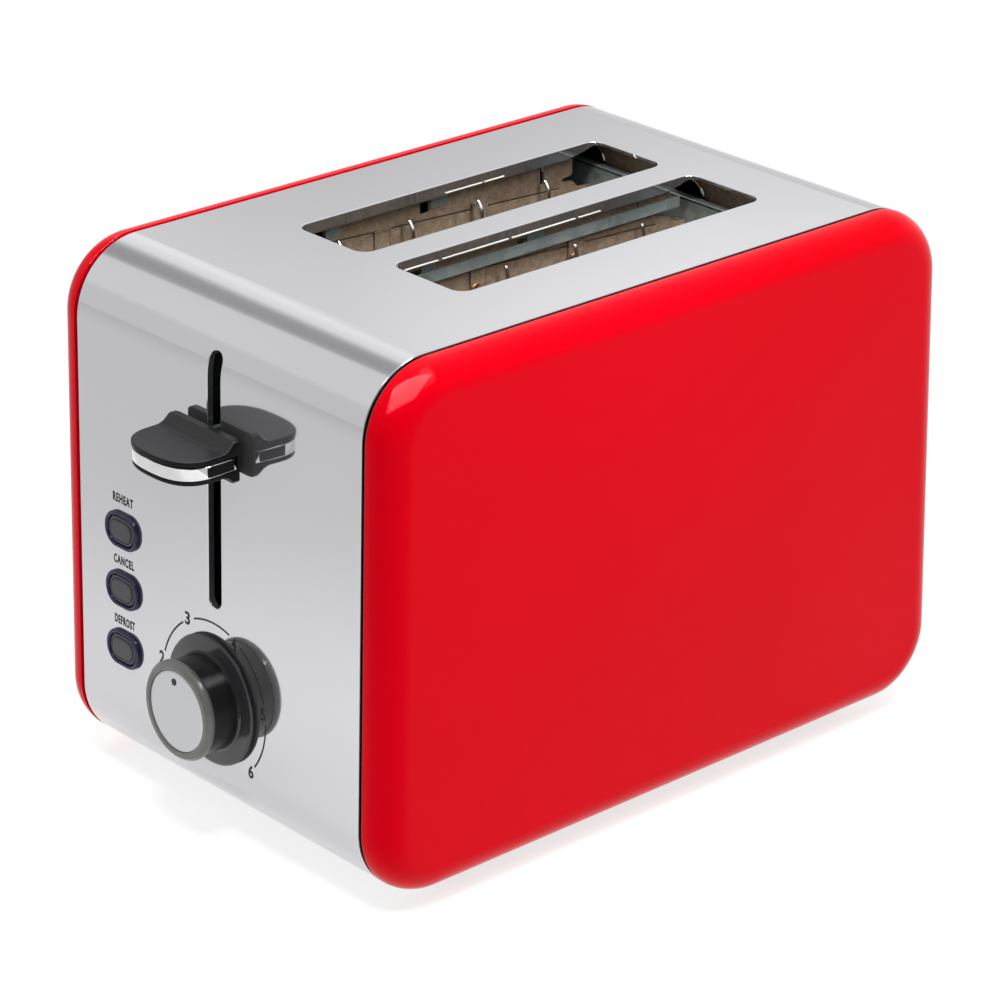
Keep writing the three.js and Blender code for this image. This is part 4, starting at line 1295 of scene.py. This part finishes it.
FOOT = rounded_profile(
    [
        (0, -5.2, 0), (4.4, -5.2, 0.2), (4.8, -6.0, 0.3), (6.6, -6.0, 0.6), (7.2, -5.0, 0.6),
        (8.0, -1.2, 0.5), (8.0, 0.8, 0), (0, 0.8, 0),
    ]
)
for end, y in (("front", -88), ("rear", 88)):
    for label, x in (("left", -50), ("right", 50)):
        verts, faces = lathe(FOOT, 48)
        piece(f"rubber_foot_{end}_{label}", (verts + np.array([x, y, 0]), faces), RUBBER,
              "housing", [f"foot_{end}_{label}"])


def crumb_tray():
    """Folded pan with rounded corners and a rolled rim."""
    y0, y1, half, z0, z1, wall = CHAMBER_Y[0] + 3, 117.5, 50, 3.4, 11.6, 0.9
    section = (
        (2.4, z0), (1.2, z0 + 0.15), (0.3, z0 + 0.8), (0, z0 + 1.8), (0, z1 - 0.4),
        (0.12, z1 - 0.12), (0.45, z1), (0.78, z1 - 0.12), (wall, z1 - 0.4), (wall, z0 + 2.2),
        (1.2, z0 + 1.5), (2.0, z0 + 1.05), (3.2, z0 + wall),
    )
    return loft([
        level(rect(i - half, half - i, y0 + i, y1 - i, max(0.6, 4 - i), 6), z) for i, z in section
    ])


def tray_grip():
    """Moulded bar across the tray's rear end, scooped underneath for the fingers."""
    ring = rounded_profile(
        [
            (118.6, 4.0, 0), (122.8, 3.7, 0.8), (124.6, 7.2, 2.6), (129.4, 9.6, 0.8),
            (129.3, 12.3, 0.7), (117.8, 12.3, 0.3), (117.8, 3.9, 0.3), (118.6, 4.0, 0),
        ]
    )[:-1]
    middle = ring.mean(0)
    ends = ((-50, 0.94), (-49.7, 0.985), (-49.1, 1), (49.1, 1), (49.7, 0.985), (50, 0.94))
    return loft([ring_at(x, (ring - middle) * k + middle) for x, k in ends])


piece("tray_pan", crumb_tray(), GALVANISED, "crumb_tray_body", ["crumb_tray"])
piece("tray_grip", tray_grip(), CHARCOAL, "crumb_tray_body", ["crumb_tray_grip"])


def cord_grommet():
    section = rounded_profile(
        [
            (3.6, -5.0, 0), (5.4, -5.0, 0.3), (5.4, 0.32, 0), (9.0, 0.32, 0.2), (9.2, 1.2, 0.6),
            (7.6, 2.1, 0.5), (5.2, 2.2, 0.6), (3.6, 1.2, 0.5), (3.6, -5.0, 0),
        ]
    )[:-1]
    verts, faces = lathe(section, 64, loop=True)
    return on_front(verts, -CORD_X, CORD_Z) * (-1, -1, 1), faces


piece("cord_grommet", cord_grommet(), SEAM_BLACK, "housing", ["cord_inlet"])

# ---- return spring
SPRING_XY = np.array([14, -92])
SPRING_Z = (15.6, 123.0)


def spring():
    turns, radius = 11, 4.4
    path = []
    for t in np.linspace(0, 1, turns * 28 + 1):
        a = TURN * turns * t
        x, y = SPRING_XY + radius * np.array([math.cos(a), math.sin(a)])
        path.append((x, y, SPRING_Z[0] + (SPRING_Z[1] - SPRING_Z[0]) * t))
    return tube(path, 0.6, 8)


coil = piece("coil_spring", spring(), BRIGHT_WIRE, None, ["return_spring"],
             weighted=False)
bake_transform(coil)


# ---- CAD nodes that stay
CARRIED = (
    (GALVANISED, ["chassis_side_right", "chassis_side_left", "front_bulkhead", "armature",
                  "carriage_bracket", "bread_rack_left", "bread_rack_right"]),
    (SEAM_BLACK, ["relay", "switch_reheat", "switch_cancel", "switch_defrost"]),
    (CHARCOAL, ["potentiometer", "terminal_block"]),
    (CIRCUIT, ["control_board"]),
    (COPPER, ["electromagnet"]),
    (BRIGHT_WIRE, ["guide_rod"]),
    (NICHROME, [f"heating_element_{label}" for label in CARDS]),
)
for material, names in CARRIED:
    for name in names:
        node = frame["nodes"][name]
        node.data.materials.clear()
        node.data.materials.append(material)
        if name != "guide_rod":
            bevel = node.modifiers.new("edges", "BEVEL")
            bevel.width = 0.00015
            bevel.segments = 2
            bevel.limit_method = "ANGLE"
            bevel.angle_limit = math.radians(40)


# ---- stage, light and camera
def stage_floor():
    """Pale table that glows by itself, a soft light from below that keeps the toaster's shadow and
    bounce faint, and that darkens a little towards the front left, out of the picture.
    """
    reach = 6.0
    mesh = bpy.data.meshes.new("floor")
    corners = [(-reach, -reach, 0), (reach, -reach, 0), (reach, reach, 0), (-reach, reach, 0)]
    mesh.from_pydata(corners, [], [(0, 1, 2, 3)])
    floor = bpy.data.objects.new("floor", mesh)
    bpy.context.scene.collection.objects.link(floor)
    # the floor's own glow fills in the shadow it would carry: painted light
    pale = Finish("pale_floor", (1, 1, 1), 0.9, Emission_Strength=0.74, Specular_IOR_Level=0.0)
    along = add_node(pale.tree, "VectorMath", {0: pale.coords, 1: (-0.6, -0.8, 0)},
                     operation="DOT_PRODUCT").outputs["Value"]
    for socket, near, far in (("Base Color", 0.33, 0.26), ("Emission Color", 1.0, 0.78)):
        fade = fade_node(pale.tree, along, (0.19, 0.42), (near, far))
        pale.tree.links.new(fade, pale.inputs[socket])
    mesh.materials.append(pale.material)


def fade_node(tree, value, span, ends):
    """A smooth step from one end to the other while value crosses the span."""
    inputs = {"Value": value, "From Min": span[0], "From Max": span[1], "To Min": ends[0],
              "To Max": ends[1]}
    return add_node(tree, "MapRange", inputs, interpolation_type="SMOOTHSTEP").outputs["Result"]


def area_light(name, place, target, size, power):
    light = bpy.data.lights.new(name, "AREA")
    light.shape = "RECTANGLE"
    light.size, light.size_y = size
    light.energy = power
    made = bpy.data.objects.new(name, light)
    made.location = place
    made.rotation_euler = (Vector(target) - Vector(place)).to_track_quat("-Z", "Y").to_euler()
    bpy.context.scene.collection.objects.link(made)
    return made


# brightness of the studio walls by compass angle from +Y towards +X, in degrees: soft panels
# in front left and rear left with a dim gap between them, and a dark side behind the camera
SKY = [
    (-180, 0.7), (-132, 1.05), (-106, 1.0), (-99.5, 0.97), (-97.5, 0.68), (-95, 0.53),
    (-90, 0.44), (-83, 0.44), (-77.5, 0.5), (-72.5, 0.8), (-69, 1.1), (-66, 1.17), (-57, 1.3),
    (-51, 1.03), (-45, 1.42), (-25, 1.3), (30, 1.0), (80, 0.55), (105, 0.32), (160, 0.32),
    (180, 0.7),
]
# how much dimmer the walls are close to the table, by the same angle, and where that ends
LOW_SKY = [(-180, 0.87), (-106, 0.87), (-92, 1.0), (-75, 1.0), (-66, 0.6), (-30, 0.6), (-15, 1.0)]
LOW_SKY_ENDS = [math.sin(math.radians(elevation)) for elevation in (17, 22.5)]


def walls():
    """The studio's walls: the world's brightness by direction."""
    world = bpy.data.worlds.new("studio")
    bpy.context.scene.world = world
    world.use_nodes = True
    tree = world.node_tree
    direction = add_node(tree, "TexCoord").outputs["Generated"]
    x, y, z = add_node(tree, "SeparateXYZ", {"Vector": direction}).outputs
    around = add_node(tree, "Math", {0: x, 1: y}, operation="ARCTAN2").outputs["Value"]
    turned = {"Value": around, "From Min": -math.pi, "From Max": math.pi}
    share = add_node(tree, "MapRange", turned).outputs["Result"]
    sky, low_sky = (
        add_ramp(tree, share, [((angle + 180) / 360, level) for angle, level in stops])
        for stops in (SKY, LOW_SKY)
    )
    inputs = tree.nodes["Background"].inputs
    tree.links.new(sky, inputs["Color"])
    tree.links.new(fade_node(tree, z, LOW_SKY_ENDS, (low_sky, 1.0)), inputs["Strength"])


def lights():
    area_light("overhead_soft", (-0.2, -0.1, 1.6), (0, 0, 0.1), (1.6, 1.2), 6)
    area_light("panel_key", (0.24, 0.02, 0.52), (0.09, 0.01, 0.1), (0.1, 0.4), 1.8)
    corner = (0.08, -0.1, 0.18)
    # a large panel that only shows as a gloss on the enamel's upper front corner
    gloss = area_light("corner_softbox", (0.6, -0.58, 1.55), corner, (2.1, 1.4), 1000)
    gloss.visible_diffuse = False
    enamelled = bpy.data.collections.new("enamelled")
    for label in ("panel_right", "panel_left"):
        enamelled.objects.link(bpy.data.objects[label])
    gloss.light_linking.receiver_collection = enamelled
    area_light("corner_fill", (0.6, -0.6, 1.45), corner, (0.28, 0.17), 10)


# the camera that was solved from the photograph
CAMERA_ANGLES = (48.171, 23.732, 0.145)  # azimuth, elevation and roll, in degrees
CAMERA_SPOT = (945.412, -848.543, 640.114)
LENS, SENSOR = 143.242, 36


def camera():
    azimuth, elevation, roll = (math.radians(angle) for angle in CAMERA_ANGLES)
    back = np.array([
        math.sin(azimuth) * math.cos(elevation), -math.cos(azimuth) * math.cos(elevation),
        math.sin(elevation),
    ])
    right = np.cross(-back, [0, 0, 1.0])
    right /= np.linalg.norm(right)
    up = np.cross(right, -back)
    c, s = math.cos(roll), math.sin(roll)
    spot = np.array(CAMERA_SPOT) * MM + ORIGIN
    matrix = np.eye(4)
    matrix[:3] = np.column_stack([right * c + up * s, up * c - right * s, back, spot])
    data = bpy.data.cameras.new("camera")
    data.sensor_width, data.lens = SENSOR, LENS
    made = bpy.data.objects.new("camera", data)
    made.matrix_world = Matrix(matrix.tolist())
    bpy.context.scene.collection.objects.link(made)
    bpy.context.scene.camera = made


stage_floor()
walls()
lights()
camera()
bpy.context.scene.view_settings.view_transform = "Standard"
